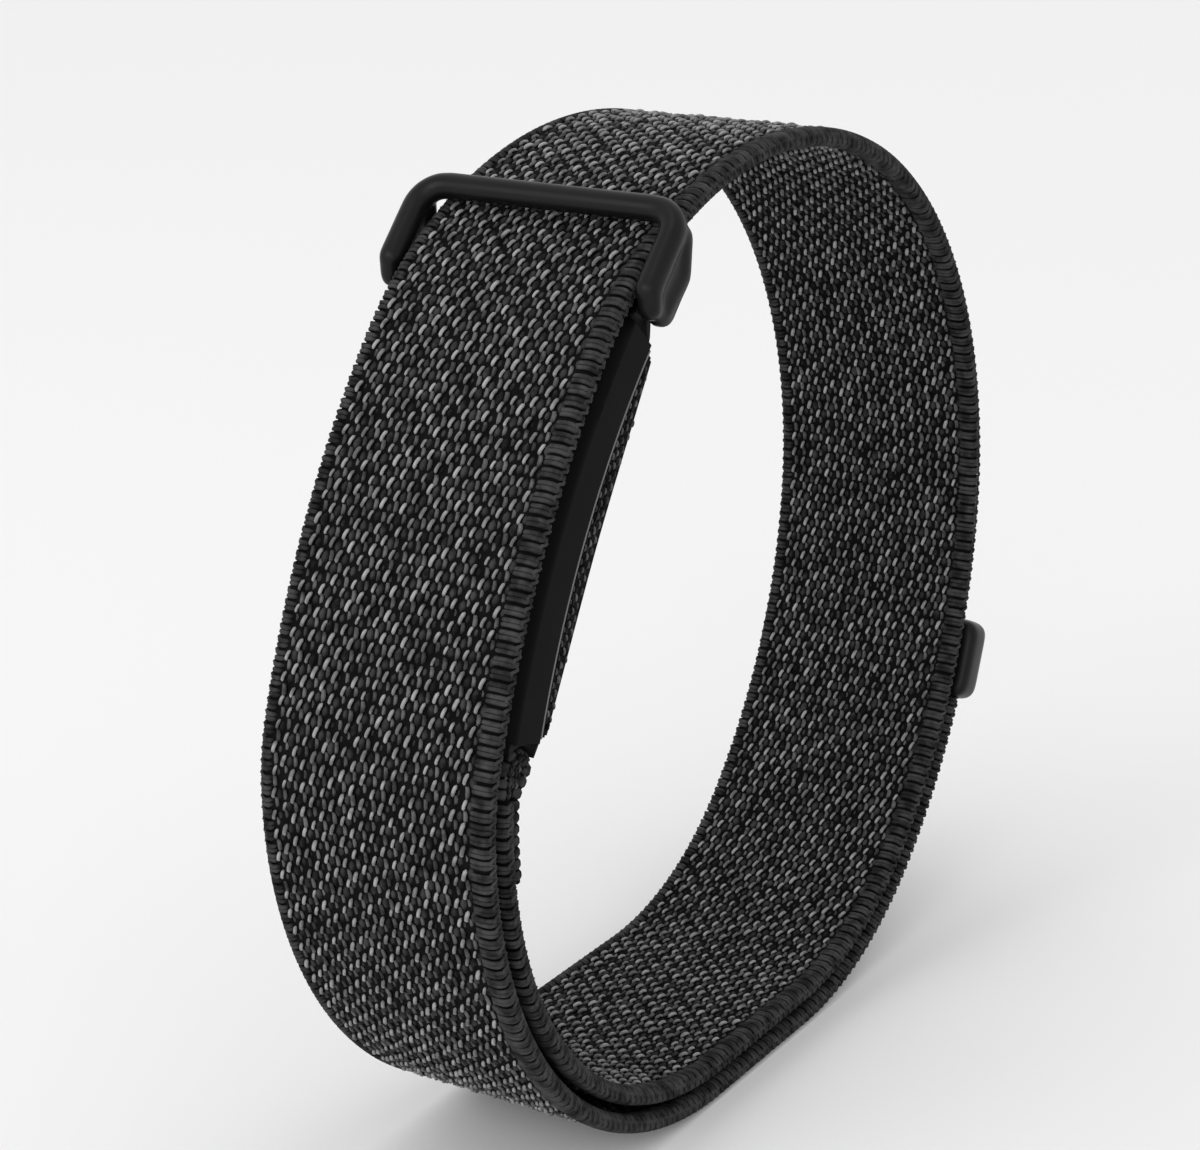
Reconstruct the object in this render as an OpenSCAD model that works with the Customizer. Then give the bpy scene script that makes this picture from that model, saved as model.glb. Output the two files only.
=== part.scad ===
// Woven wrist strap standing on its lower bend, with a closed sensor pod, a swing clasp and an end bar.
// Millimetres. The band lies in the XZ plane, its width runs along Y, and Z is up.
// The origin is the middle of the flat that the strap stands on.

/* [Webbing] */
// Width of the woven band
strap_w = 18; // [16:0.5:22]
// Thickness of the woven band
strap_t = 1.5; // [1.2:0.1:1.8]
// Gap between the inner and the outer layer
layer_gap = 0.5; // [0.4:0.05:0.8]

/* [Ring shape] */
// Length of the flat that the strap rests on
rest_flat = 13.5; // [11:0.5:16]
// Bend radius at the lower left, on the inner layer
lower_left_r = 29; // [27:0.5:31]
// Bend radius left of the flat, on the inner layer
bottom_left_r = 27.5; // [26:0.5:29]
// Bend radius right of the flat, on the inner layer
bottom_right_r = 24; // [22:0.5:26]
// Bend radius at the lower right, on the inner layer
right_low_r = 39; // [37:0.5:41]
// Bend radius at the right
right_r = 33; // [31:0.5:35]
// Bend radius at the upper right
shoulder_r = 32; // [30:0.5:34]
// Bend radius where the band runs through the clasp
clasp_bend_r = 24; // [22:0.5:26]
// Bend radius below the pod, on the outer layer
left_r = 17; // [16:0.5:19]

/* [Clasp] */
// Radius of the round clasp bar and its side rails
bar_r = 0.85; // [0.7:0.05:1]
// Gap between the band and the clasp bar
bar_gap = 0.3; // [0.25:0.05:0.6]
// Gap between the band's edges and the clasp's cheeks
cheek_gap = 0.1; // [0.1:0.05:0.3]
// Thickness of the cheeks
cheek_t = 1.5; // [1.3:0.1:1.7]
// Corner radius where the bar turns into the side rails
elbow_r = 1.9; // [1.6:0.1:2.2]
// Radius of the hinge pin
pin_r = 0.5; // [0.4:0.05:0.6]
// Radius of the pod's knuckle around the hinge pin
knuckle_r = 0.95; // [0.85:0.05:1.1]
// Gap between the band and the knuckle
knuckle_gap = 0.2; // [0.15:0.05:0.4]
// Running clearance between a pin and its bore
pin_clear = 0.05; // [0.03:0.01:0.08]

/* [Pod] */
// Width of the pod's housing
pod_w = 17.4; // [16:0.2:17.6]
// Gap between the band and the pod's outer face
pod_gap = 0.4; // [0.3:0.05:0.6]
// Depth of the pod's cover, from its outer face to the parting line
cover_t = 3.75; // [3.6:0.05:4.2]
// Wall of the cover
cover_wall = 0.9; // [0.7:0.05:1.1]
// Rounding of the cover's long edges
cover_round = 1.1; // [0.6:0.1:1.5]
// Thickness of the gasket at the parting line
gasket_t = 0.25; // [0.2:0.05:0.3]
// Thickness of the back plate
back_t = 0.8; // [0.6:0.05:1]
// How far the back plate is set in from the cover's sides
back_inset = 0.35; // [0.2:0.05:0.6]
// Crown of the woven comfort pad over the back plate
pad_crown = 1.5; // [1.2:0.1:2]
// Thickness of the comfort pad at its rim
pad_rim = 0.45; // [0.3:0.05:0.6]

/* [Tail] */
// Length of the end bar along the band
end_bar_l = 6.2; // [4.6:0.2:6.4]
// Depth of the end bar
end_bar_h = 3.2; // [2.5:0.1:3.4]
// How far the end bar reaches past the band on each side
end_bar_over = 0.6; // [0.2:0.05:1]
// How far the band's tip is folded in on each side inside the end bar
tip_inset = 1; // [0.8:0.1:1.5]
// Thickness of the hook patch between the layers
patch_t = 0.4; // [0.3:0.05:0.45]

/* [Hidden] */
$fn = 48;

// Normal angles at which one bend hands over to the next, measured from +X towards +Z
lower_left_end = 225;
bottom_right_end = 315;
right_low_end = 355;
right_end = 395;
shoulder_end = 430;
crown_end = 480;
clasp_end = 500;
pod_bend_end = 524;
half_turn = 180;
left_end = 540;
arc_step = 3;

// Distance between the middles of the two layers
layer_d = strap_t + layer_gap;
half_t = strap_t / 2;

function u(a) = [cos(a), sin(a)];
function reversed(list) = [for (i = [len(list) - 1:-1:0]) list[i]];

// Centres of the bends, worked out from the flat to the left and to the right
c_bottom_left = [-rest_flat / 2, half_t + layer_d + bottom_left_r];
c_lower_left = c_bottom_left + (bottom_left_r - lower_left_r) * u(lower_left_end);
c_left = c_lower_left + (lower_left_r + layer_d - left_r) * u(half_turn);
c_bottom_right = [rest_flat / 2, half_t + layer_d + bottom_right_r];
c_right_low = c_bottom_right + (bottom_right_r - right_low_r) * u(bottom_right_end);
c_right = c_right_low + (right_low_r - right_r) * u(right_low_end);
c_shoulder = c_right + (right_r - shoulder_r) * u(right_end);

// The crown's and the pod's bend radii close the ring
close_pod = u(clasp_end) - u(pod_bend_end);
close_crown = u(shoulder_end) - u(crown_end);
close_rest = c_shoulder + shoulder_r * u(shoulder_end) - clasp_bend_r * u(crown_end)
    - c_left - left_r * u(pod_bend_end) + clasp_bend_r * u(clasp_end);
close_det = close_pod[0] * close_crown[1] - close_pod[1] * close_crown[0];
pod_bend_r = (close_rest[0] * close_crown[1] - close_rest[1] * close_crown[0]) / close_det;
crown_r = (close_pod[0] * close_rest[1] - close_pod[1] * close_rest[0]) / close_det;
c_crown = c_shoulder + (shoulder_r - crown_r) * u(shoulder_end);
c_pod = c_left + (left_r - pod_bend_r) * u(pod_bend_end);
c_clasp = c_pod + (pod_bend_r - clasp_bend_r) * u(clasp_end);

// Where the stretches of webbing begin and end
loop_start = 172.4;
crown_start = 355;
clasp_seam = 478;
tail_start = 678;
tip_start = 693.6;
tip_end = 699.5;

// One bend: centre, radius of the band's middle, first and last normal angle
function bend_points(bend, shift, first) =
    let (steps = max(1, ceil((bend[3] - bend[2]) / arc_step)))
    [for (i = [first:steps]) bend[0] + (bend[1] + shift) * u(bend[2] + (bend[3] - bend[2]) * i / steps)];

// The points along a run of bends; a flat appears where two centres differ across it
function run_points(bends, shift, k = 0) =
    k == len(bends) ? [] :
    concat(bend_points(bends[k], shift, k == 0 || bends[k][4] ? 0 : 1), run_points(bends, shift, k + 1));

inner_run = [
    [c_left, left_r - layer_d, loop_start, half_turn, false],
    [c_lower_left, lower_left_r, half_turn, lower_left_end, false],
    [c_bottom_left, bottom_left_r, lower_left_end, 270, false],
    [c_bottom_right, bottom_right_r, 270, bottom_right_end, true],
    [c_right_low, right_low_r, bottom_right_end, crown_start, false]];
crown_run = [
    [c_right, right_r, crown_start, right_end, false],
    [c_shoulder, shoulder_r, right_end, shoulder_end, false],
    [c_crown, crown_r, shoulder_end, clasp_seam, false]];
outer_run = [
    [c_crown, crown_r, clasp_seam, crown_end, false],
    [c_clasp, clasp_bend_r, crown_end, clasp_end, false],
    [c_pod, pod_bend_r, clasp_end, pod_bend_end, false],
    [c_left, left_r, pod_bend_end, left_end, false],
    [c_lower_left, lower_left_r + layer_d, left_end, left_end + 45, false],
    [c_bottom_left, bottom_left_r + layer_d, left_end + 45, left_end + 90, false],
    [c_bottom_right, bottom_right_r + layer_d, left_end + 90, left_end + 135, true],
    [c_right_low, right_low_r + layer_d, left_end + 135, tail_start, false]];
tail_run = [[c_right_low, right_low_r + layer_d, tail_start, tip_start, false]];
tip_run = [[c_right_low, right_low_r + layer_d, tip_start, tip_end, false]];

// Turns a side view, X across and Z up, into the plane that the ring stands in
module ring_plane() {
    rotate([90, 0, 0])
        children();
}

// A strip of even thickness along a run, between two shifts from the band's middle
module strip(bends, low, high, width) {
    ring_plane()
        linear_extrude(width, center = true)
            polygon(concat(run_points(bends, high), reversed(run_points(bends, low))));
}

module webbing(bends, width = strap_w) {
    strip(bends, -half_t, half_t, width);
}

module inner_wrap() {
    color("#2c2c2e")
        webbing(inner_run);
}

module crown_wrap() {
    color("#2e2e30")
        webbing(crown_run);
}

module outer_wrap() {
    color("#2a2a2c")
        webbing(outer_run);
}

module tail_webbing() {
    color("#303032")
        webbing(tail_run);
}

// The tail's end lies in the end bar's channel, with a hole for each rivet
rivet_r = 0.5;
rivet_clear = 0.04;
rivet_count = 3;
rivet_pitch = 6;
end_bar_mid = 697.95;

module rivet_places() {
    ring_plane()
        translate([c_right_low[0], c_right_low[1], 0])
            rotate([0, 0, end_bar_mid])
                for (i = [0:rivet_count - 1])
                    translate([0, 0, (i - (rivet_count - 1) / 2) * rivet_pitch])
                        rotate([0, 90, 0])
                            children();
}

module tail_tip() {
    color("#303032")
        difference() {
            webbing(tip_run, strap_w - 2 * tip_inset);
            rivet_places()
                translate([0, 0, right_low_r])
                    cylinder(h = 2 * layer_d, r = rivet_r + rivet_clear);
        }
}

// Hook side of the fastening, sewn under the tail and lying between the layers
patch_start = 681;
patch_end = 692;

module hook_patch() {
    slack = (layer_gap - patch_t) / 2;
    color("#1c1c1e")
        strip([[c_right_low, right_low_r, patch_start, patch_end, false]],
            half_t + slack, half_t + slack + patch_t, strap_w - 2);
}

// Moulded bar over the tail's end, open towards the inner layer
end_bar_gap = 0.3;
end_bar_round = 1.1;
end_bar_foot = 0.4;
half_end_bar_l = end_bar_l / 2 + 0.01;
end_bar_low_r = right_low_r + half_t + end_bar_gap;
end_bar_turn = end_bar_l / end_bar_low_r * 180 / PI;
channel_clear = 0.06;

// A rounded outline: X from low to high, Y to half_w each way, with its own corner radius at each end
module round_outline(low, high, half_w, r_low, r_high) {
    translate([low + r_low, -half_w])
        square([high - low - r_low - r_high, 2 * half_w]);
    translate([low, -half_w + r_low])
        square([r_low, 2 * (half_w - r_low)]);
    translate([high - r_high, -half_w + r_high])
        square([r_high, 2 * (half_w - r_high)]);
    for (side = [-1, 1]) {
        translate([low + r_low, side * (half_w - r_low)])
            circle(r = r_low, $fn = 32);
        translate([high - r_high, side * (half_w - r_high)])
            circle(r = r_high, $fn = 32);
    }
}

// The bar's three outlines, each drawn through the others
module end_bar_body() {
    half_w = strap_w / 2 + end_bar_over;
    high = end_bar_low_r + end_bar_h;
    rotate([0, 0, end_bar_mid])
        intersection() {
            linear_extrude(3 * half_w, center = true)
                round_outline(end_bar_low_r, high, end_bar_l / 2, end_bar_foot, end_bar_round);
            rotate([90, 0, 0])
                linear_extrude(2 * end_bar_l, center = true)
                    round_outline(end_bar_low_r - 1, high, half_w, end_bar_foot, 1.1 * end_bar_round);
            translate([end_bar_low_r - 2, 0, 0])
                rotate([90, 0, 90])
                    linear_extrude(2 * end_bar_h)
                        round_outline(-half_end_bar_l, half_end_bar_l, half_w, 0.9 * end_bar_round,
                            0.9 * end_bar_round);
        }
}

module end_bar() {
    roof = right_low_r + layer_d + half_t + channel_clear;
    below = end_bar_low_r - 1;
    color("#242425")
        difference() {
            ring_plane()
                translate([c_right_low[0], c_right_low[1], 0])
                    end_bar_body();
            ring_plane()
                linear_extrude(strap_w - 2 * tip_inset + 4 * channel_clear, center = true)
                    polygon(concat(
                        bend_points([c_right_low, roof, end_bar_mid - end_bar_turn, tip_end + 0.15], 0, 0),
                        reversed(bend_points([c_right_low, below, end_bar_mid - end_bar_turn, tip_end + 0.15],
                            0, 0))));
            rivet_places()
                translate([0, 0, right_low_r])
                    cylinder(h = 4 * layer_d, r = rivet_r + rivet_clear);
        }
}

module end_rivets() {
    head_t = 0.2;
    low = right_low_r + layer_d - half_t - head_t / 2;
    high = end_bar_low_r + end_bar_h + pin_clear;
    color("#3c3c3e")
        rivet_places() {
            translate([0, 0, low])
                cylinder(h = high - low, r = rivet_r);
            translate([0, 0, high])
                cylinder(h = head_t, r = 1.7 * rivet_r);
        }
}

// The bar at the pod's lower end, and the webbing's end folded round it
loop_bar_r = 0.6;
loop_t = 1.05;
loop_clear = 0.05;
loop_w = 17.4;
strap_bar_l = 13.6;
loop_turn = 165.8;
loop_out_r = loop_bar_r + loop_clear + loop_t;
loop_mid = left_r - layer_d + half_t - loop_out_r;
loop_at = c_left + loop_mid * u(loop_turn);
fold_l = 4.2;
fold_t = 0.8;

module at_loop() {
    ring_plane()
        translate([loop_at[0], loop_at[1], 0])
            children();
}

// The pod's two lugs stand inside the webbing's width, each in a notch cut in the fold
lug_r = 1.3;
lug_t = 1.2;
lug_side = 3.6;
notch_gap = 0.25;

module lug_sides() {
    for (side = [-1, 1])
        translate([0, 0, side * lug_side])
            children();
}

// The fold leaves the loop's inner side and lies against the inner face of the band
fold_gap = 0.03;
fold_run = [
    [c_left, left_r - layer_d, loop_start, half_turn, false],
    [c_lower_left, lower_left_r, half_turn, half_turn + fold_l / lower_left_r * 180 / PI, false]];

module pod_loop() {
    color("#29292b") {
        difference() {
            union() {
                at_loop()
                    cylinder(h = loop_w, r = loop_out_r, center = true);
                strip([[c_left, left_r - layer_d, loop_turn, loop_start, false]],
                    -half_t, half_t, loop_w);
                strip(concat([[c_left, left_r - layer_d, loop_turn, loop_start, false]], fold_run),
                    -half_t - fold_gap - fold_t, -half_t - fold_gap, loop_w);
            }
            at_loop()
                cylinder(h = strap_bar_l + 0.4, r = loop_bar_r + loop_clear, center = true);
            at_loop()
                lug_sides()
                    cylinder(h = lug_t + 2 * notch_gap, r = loop_out_r + 0.2, center = true);
        }
    }
}

// Rows of thread across the fold
stitch_rows = 2;
stitch_count = 8;
stitch_l = 1.2;
stitch_t = 0.22;

module loop_stitching() {
    low = -half_t - fold_gap - fold_t - stitch_t - 0.02;
    color("#48484a")
        for (row = [0:stitch_rows - 1]) {
            a = half_turn + 2.5 + row * 3.5;
            for (i = [0:stitch_count - 1])
                translate([0, (i - (stitch_count - 1) / 2) * loop_w / (stitch_count + 0.5), 0])
                    strip([[c_lower_left, lower_left_r, a, a + 1, false]], low, low + stitch_t, stitch_l);
        }
}

module strap_bar() {
    color("#8c8c90")
        at_loop()
            cylinder(h = strap_bar_l, r = loop_bar_r, center = true);
}

// Pod housing, in rings about the centre of the pod's bend
pod_top_r = pod_bend_r - half_t - pod_gap;
part_r = pod_top_r - cover_t;
back_top_r = part_r - gasket_t;
back_low_r = back_top_r - back_t;
pod_from = 136.3;
pod_to = 162.6;
deg_per_mm = 180 / PI / part_r;
wall_turn = cover_wall * deg_per_mm;

// Hinge pin of the clasp, under the band
pin_turn = 126;
pin_at = c_clasp + (clasp_bend_r - half_t - knuckle_gap - knuckle_r) * u(pin_turn);
bar_turn = 116;
bar_at = c_crown + (crown_r + half_t + bar_gap + bar_r) * u(bar_turn);

module at_pod() {
    ring_plane()
        translate([c_pod[0], c_pod[1], 0])
            children();
}

// A plate of constant radius and width about the pod's bend
module pod_sector(low, high, width, from, to) {
    at_pod()
        rotate([0, 0, from])
            rotate_extrude(angle = to - from, $fn = 240)
                translate([low, -width / 2])
                    square([high - low, width]);
}

module cover_section() {
    half_w = pod_w / 2;
    translate([part_r, -half_w])
        square([cover_t - cover_round, pod_w]);
    translate([part_r, -half_w + cover_round])
        square([cover_t, pod_w - 2 * cover_round]);
    for (side = [-1, 1])
        translate([pod_top_r - cover_round, side * (half_w - cover_round)])
            circle(r = cover_round, $fn = 32);
}

knuckle_w = 11;
boss_r = 1.1;
boss_turns = [pod_from + wall_turn + 1.3, pod_to - wall_turn - 1.3];
boss_side = pod_w / 2 - cover_wall - 0.75;

module boss_places() {
    at_pod()
        for (a = boss_turns)
            for (side = [-1, 1])
                rotate([0, 0, a])
                    translate([0, 0, side * boss_side])
                        rotate([0, 90, 0])
                            children();
}

// Contacts in the pod's outer face for its charger
contact_r = 0.9;
contact_pitch = 3.2;
contact_turn = 157;
contact_clear = 0.05;

module contact_places() {
    at_pod()
        rotate([0, 0, contact_turn])
            for (i = [-1:1])
                translate([0, 0, i * contact_pitch])
                    rotate([0, 90, 0])
                        children();
}

module pod_cover() {
    root_turn = pod_from + 2;
    root_at = c_pod + (pod_top_r - knuckle_r - 0.4) * u(root_turn);
    toe_at = c_pod + (part_r + lug_r + 0.2) * u(pod_to + 0.6);
    color("#1d1d1f")
        difference() {
            union() {
                difference() {
                    at_pod()
                        rotate([0, 0, pod_from])
                            rotate_extrude(angle = pod_to - pod_from, $fn = 240)
                                cover_section();
                    pod_sector(part_r - 1, pod_top_r - cover_wall, pod_w - 2 * cover_wall,
                        pod_from + wall_turn, pod_to - wall_turn);
                }
                ring_plane()
                    linear_extrude(knuckle_w, center = true)
                        link_outline(pin_at, knuckle_r, root_at, knuckle_r);
                ring_plane()
                    lug_sides()
                        linear_extrude(lug_t, center = true)
                            link_outline(loop_at, lug_r, toe_at, lug_r);
                boss_places()
                    translate([0, 0, part_r])
                        cylinder(h = cover_t - cover_wall / 2, r = boss_r);
            }
            ring_plane()
                translate([pin_at[0], pin_at[1], 0])
                    cylinder(h = 2 * pod_w, r = pin_r + pin_clear, center = true);
            at_loop()
                cylinder(h = pod_w, r = loop_bar_r + loop_clear, center = true);
            boss_places()
                translate([0, 0, part_r - 1])
                    cylinder(h = 1 + 2.2, r = screw_r + screw_clear);
            contact_places()
                translate([0, 0, pod_top_r - cover_wall - 1])
                    cylinder(h = 3, r = contact_r + contact_clear);
        }
}

// A straight link with two round ends
module link_outline(a, ra, b, rb) {
    d = b - a;
    span = norm(d);
    lean = atan2(d[1], d[0]);
    tilt = acos((ra - rb) / span);
    translate(a)
        circle(r = ra);
    translate(b)
        circle(r = rb);
    polygon([a + ra * u(lean + tilt), a + ra * u(lean - tilt), b + rb * u(lean - tilt), b + rb * u(lean + tilt)]);
}

module charge_contacts() {
    color("#c8a24a")
        contact_places()
            translate([0, 0, pod_top_r - cover_wall - 0.1])
                cylinder(h = cover_wall, r = contact_r);
}

module pod_gasket() {
    trim = 0.25;
    band = 0.7;
    color("#5a5a5c")
        difference() {
            pod_sector(back_top_r + 0.02, part_r - 0.02, pod_w - 2 * trim,
                pod_from + trim * deg_per_mm, pod_to - trim * deg_per_mm);
            pod_sector(back_top_r - 1, part_r + 1, pod_w - 2 * trim - 2 * band,
                pod_from + (trim + band) * deg_per_mm, pod_to - (trim + band) * deg_per_mm);
            boss_places()
                translate([0, 0, back_top_r - 1])
                    cylinder(h = 3, r = screw_r + screw_clear);
        }
}

screw_r = 0.5;
screw_clear = 0.04;
screw_head_r = 0.85;
screw_head_t = 0.35;

// Optical window over the opening in the back plate, in the middle of the pad
window_l = 9;
window_w = 7.4;
window_t = 0.9;
window_turn = 151;
aperture_l = 6.8;
aperture_w = 5.2;
back_from = pod_from + back_inset * deg_per_mm;
back_to = pod_to - back_inset * deg_per_mm;

module window_plate(low, high, length, width, round_r) {
    at_pod()
        rotate([0, 0, window_turn])
            rotate([0, 90, 0])
                translate([0, 0, low])
                    linear_extrude(high - low) {
                        square([width - 2 * round_r, length], center = true);
                        square([width, length - 2 * round_r], center = true);
                        for (x = [-1, 1])
                            for (y = [-1, 1])
                                translate([x * (width / 2 - round_r), y * (length / 2 - round_r)])
                                    circle(r = round_r);
                    }
}

module pod_back() {
    color("#232325")
        difference() {
            pod_sector(back_low_r, back_top_r, pod_w - 2 * back_inset, back_from, back_to);
            pod_sector(back_low_r - 1, back_top_r + 1, aperture_w,
                window_turn - aperture_l * deg_per_mm / 2, window_turn + aperture_l * deg_per_mm / 2);
            boss_places()
                translate([0, 0, back_low_r - 1])
                    cylinder(h = 1 + back_t + 1, r = screw_r + screw_clear);
            boss_places()
                translate([0, 0, back_low_r - 1])
                    cylinder(h = 1 + screw_head_t + 0.05, r = screw_head_r + screw_clear);
        }
}

module case_screws() {
    color("#77777a")
        boss_places() {
            translate([0, 0, back_low_r + 0.03])
                cylinder(h = screw_head_t, r = screw_head_r);
            translate([0, 0, back_low_r + 0.03])
                cylinder(h = 2.9, r = screw_r);
        }
}

// Woven pad on the back plate: its skin side follows the chord of the bend and draws in at the sides
pad_from = pod_from + 1.3;
pad_to = pod_to - 0.7;
pad_w = pod_w - 0.8;
pad_cells_long = 20;
pad_cells_wide = 10;
pad_gap = 0.03;

function pad_height(i, j) =
    let (s = 2 * i / pad_cells_long - 1, v = 2 * j / pad_cells_wide - 1)
    pad_rim + (pad_crown - pad_rim) * (1 - pow(abs(s), 2.4)) * (1 - 0.5 * pow(abs(v), 3));

function pad_draw(i) = let (s = 2 * i / pad_cells_long - 1) 1 - 0.05 * pow(s, 4);

function pad_point(i, j, drop) =
    let (a = pad_from + (pad_to - pad_from) * i / pad_cells_long, p = c_pod + (back_low_r - pad_gap - drop) * u(a))
    [p[0], pad_draw(i) * pad_w * (j / pad_cells_wide - 0.5), p[1]];

module pad_form() {
    row = pad_cells_wide + 1;
    total = (pad_cells_long + 1) * row;
    points = concat(
        [for (i = [0:pad_cells_long]) for (j = [0:pad_cells_wide]) pad_point(i, j, 0)],
        [for (i = [0:pad_cells_long]) for (j = [0:pad_cells_wide]) pad_point(i, j, pad_height(i, j))]);
    cells = [for (i = [0:pad_cells_long - 1]) for (j = [0:pad_cells_wide - 1]) i * row + j];
    base = [for (k = cells) each [[k, k + 1, k + row], [k + 1, k + row + 1, k + row]]];
    skin = [for (k = cells) each [[total + k, total + k + row, total + k + 1],
        [total + k + 1, total + k + row, total + k + row + 1]]];
    rim_loop = concat([for (j = [0:pad_cells_wide - 1]) j],
        [for (i = [0:pad_cells_long - 1]) i * row + pad_cells_wide],
        [for (j = [pad_cells_wide:-1:1]) pad_cells_long * row + j],
        [for (i = [pad_cells_long:-1:1]) i * row]);
    count = len(rim_loop);
    rim = [for (k = [0:count - 1]) let (a = rim_loop[k], b = rim_loop[(k + 1) % count])
        each [[a, total + b, b], [a, total + a, total + b]]];
    polyhedron(points = points, faces = concat(base, skin, rim));
}

module comfort_pad() {
    clear = 0.15;
    color("#2b2b2d")
        difference() {
            pad_form();
            window_plate(back_low_r - 2 * pad_crown, back_low_r + 1, window_l + 2 * clear,
                window_w + 2 * clear, 1.2);
        }
}

module optical_window() {
    sag = window_l * window_l / (8 * back_low_r);
    color("#1c1e24")
        window_plate(back_low_r - sag - window_t, back_low_r - sag - 0.02, window_l, window_w, 1.1);
}

// Electronics, stacked between the back plate and the cover
board_t = 0.5;
board_low = part_r + 0.35;
board_w = 11;
board_from = pod_from + wall_turn + 0.4;
board_to = pod_to - wall_turn - 0.4;
stack_low = board_low + board_t + 0.08;
stack_high = pod_top_r - cover_wall - 0.08;

module circuit_board() {
    color("#1f5a3a")
        pod_sector(board_low, board_low + board_t, board_w, board_from, board_to);
}

module battery() {
    color("#a9abb0")
        pod_sector(stack_low, stack_high, board_w + 0.8, board_from + 3, board_from + 12.6);
}

module vibration_motor() {
    motor_r = 3;
    color("#b5b6b8")
        at_pod()
            rotate([0, 0, board_from + 18.2])
                rotate([0, 90, 0])
                    translate([0, 0, stack_low])
                        cylinder(h = stack_high - stack_low - 0.25, r = motor_r);
}

carrier_t = 0.3;

module sensor_carrier() {
    color("#141416")
        pod_sector(board_low - 0.04 - carrier_t, board_low - 0.04, aperture_w + 1.5,
            window_turn - 4.2, window_turn + 4.2);
}

module sensor_sites(turns, sides) {
    at_pod()
        for (k = [0:len(turns) - 1])
            rotate([0, 0, window_turn + turns[k]])
                translate([0, 0, sides[k]])
                    rotate([0, 90, 0])
                        children();
}

sensor_top = board_low - 0.04 - carrier_t - 0.02;
led_t = 0.75;

module sensor_leds() {
    color("#8be08b")
        sensor_sites([0, -1.9, 1.9], [0, 0, 0])
            translate([0, 0, sensor_top - led_t])
                cylinder(h = led_t, r = 0.6);
}

module photodiodes() {
    color("#22242e")
        sensor_sites([-1.9, -1.9, 1.9, 1.9], [-1.7, 1.7, -1.7, 1.7])
            translate([-0.5, -0.5, sensor_top - led_t])
                cube([1, 1, led_t]);
}

// Clasp: a round bar whose ends turn down into a rail in front and a rim behind, with a web between
cheek_mid = strap_w / 2 + cheek_gap + bar_r;
rail_end = c_clasp + (clasp_bend_r + 0.25) * u(127);
heel_turn = 119.5;
heel_at = c_crown + (crown_r - half_t - bar_r) * u(heel_turn);
rim_start = 1.6;
rim_r = 0.95 * bar_r;
web_t = cheek_t - 0.5;
pin_boss_r = 1.2;

// A straight round arm between two points of the side view
module arm(from, to, radius) {
    hull() {
        translate([from[0], from[1], 0])
            sphere(r = radius, $fn = 24);
        translate([to[0], to[1], 0])
            sphere(r = radius, $fn = 24);
    }
}

// The bar's end: a quarter bend down, then straight on to a point of the side view
module turned_arm(side, to, radius) {
    span = to - bar_at;
    translate([bar_at[0], bar_at[1], 0])
        rotate([0, 0, atan2(span[1], span[0])]) {
            translate([elbow_r, 0, -side * elbow_r])
                rotate([side * 90, 0, 0])
                    rotate([0, 0, 90])
                        rotate_extrude(angle = 90)
                            translate([elbow_r, 0])
                                circle(r = radius);
            translate([elbow_r, 0, 0])
                rotate([0, 90, 0])
                    cylinder(h = norm(span) - elbow_r, r = radius);
            translate([norm(span), 0, 0])
                sphere(r = radius);
        }
}

module web_disc(at, radius) {
    translate([at[0], at[1], 0])
        cylinder(h = web_t, r = radius, center = true, $fn = 32);
}

module clasp_side(side) {
    ring_plane()
        translate([0, 0, side * cheek_mid]) {
            turned_arm(side, rail_end, bar_r);
            arm(bar_at + rim_start * (heel_at - bar_at) / norm(heel_at - bar_at), heel_at, rim_r);
            arm(heel_at, pin_at, rim_r);
            hull() {
                web_disc(pin_at, pin_boss_r);
                web_disc(rail_end, bar_r - 0.1);
                web_disc(heel_at, rim_r - 0.1);
                web_disc(bar_at + elbow_r * u(atan2(rail_end[1] - bar_at[1], rail_end[0] - bar_at[0])), bar_r - 0.1);
            }
        }
}

module clasp_frame() {
    color("#262628")
        difference() {
            union() {
                ring_plane()
                    translate([bar_at[0], bar_at[1], 0])
                        cylinder(h = 2 * (cheek_mid - elbow_r), r = bar_r, center = true);
                for (side = [-1, 1])
                    clasp_side(side);
            }
            ring_plane()
                translate([pin_at[0], pin_at[1], 0])
                    cylinder(h = 2 * (cheek_mid + 0.2), r = pin_r, center = true);
        }
}

module clasp_pin() {
    color("#8c8c90")
        ring_plane()
            translate([pin_at[0], pin_at[1], 0])
                cylinder(h = 2 * cheek_mid, r = pin_r, center = true);
}

inner_wrap();
crown_wrap();
outer_wrap();
tail_webbing();
tail_tip();
hook_patch();
end_bar();
end_rivets();
pod_loop();
loop_stitching();
strap_bar();
clasp_frame();
clasp_pin();
pod_cover();
pod_gasket();
pod_back();
comfort_pad();
optical_window();
sensor_carrier();
sensor_leds();
photodiodes();
circuit_board();
battery();
vibration_motor();
charge_contacts();
case_screws();
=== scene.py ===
"""Dresses the woven wrist strap: the knitted band, its selvedges, the pod, the clasp and the tail.

Lengths are written in millimetres, as in the part's own drawing, and turned into metres
where a mesh is made. The ring stands in the XZ plane and the band's width runs along Y.
"""
import logging
import math
from dataclasses import dataclass, field
from enum import Enum
from typing import Dict, Iterator, List, Optional, Sequence, Tuple, Union

import bmesh
import bpy
import numpy as np
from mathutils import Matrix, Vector
from mathutils.bvhtree import BVHTree


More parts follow.
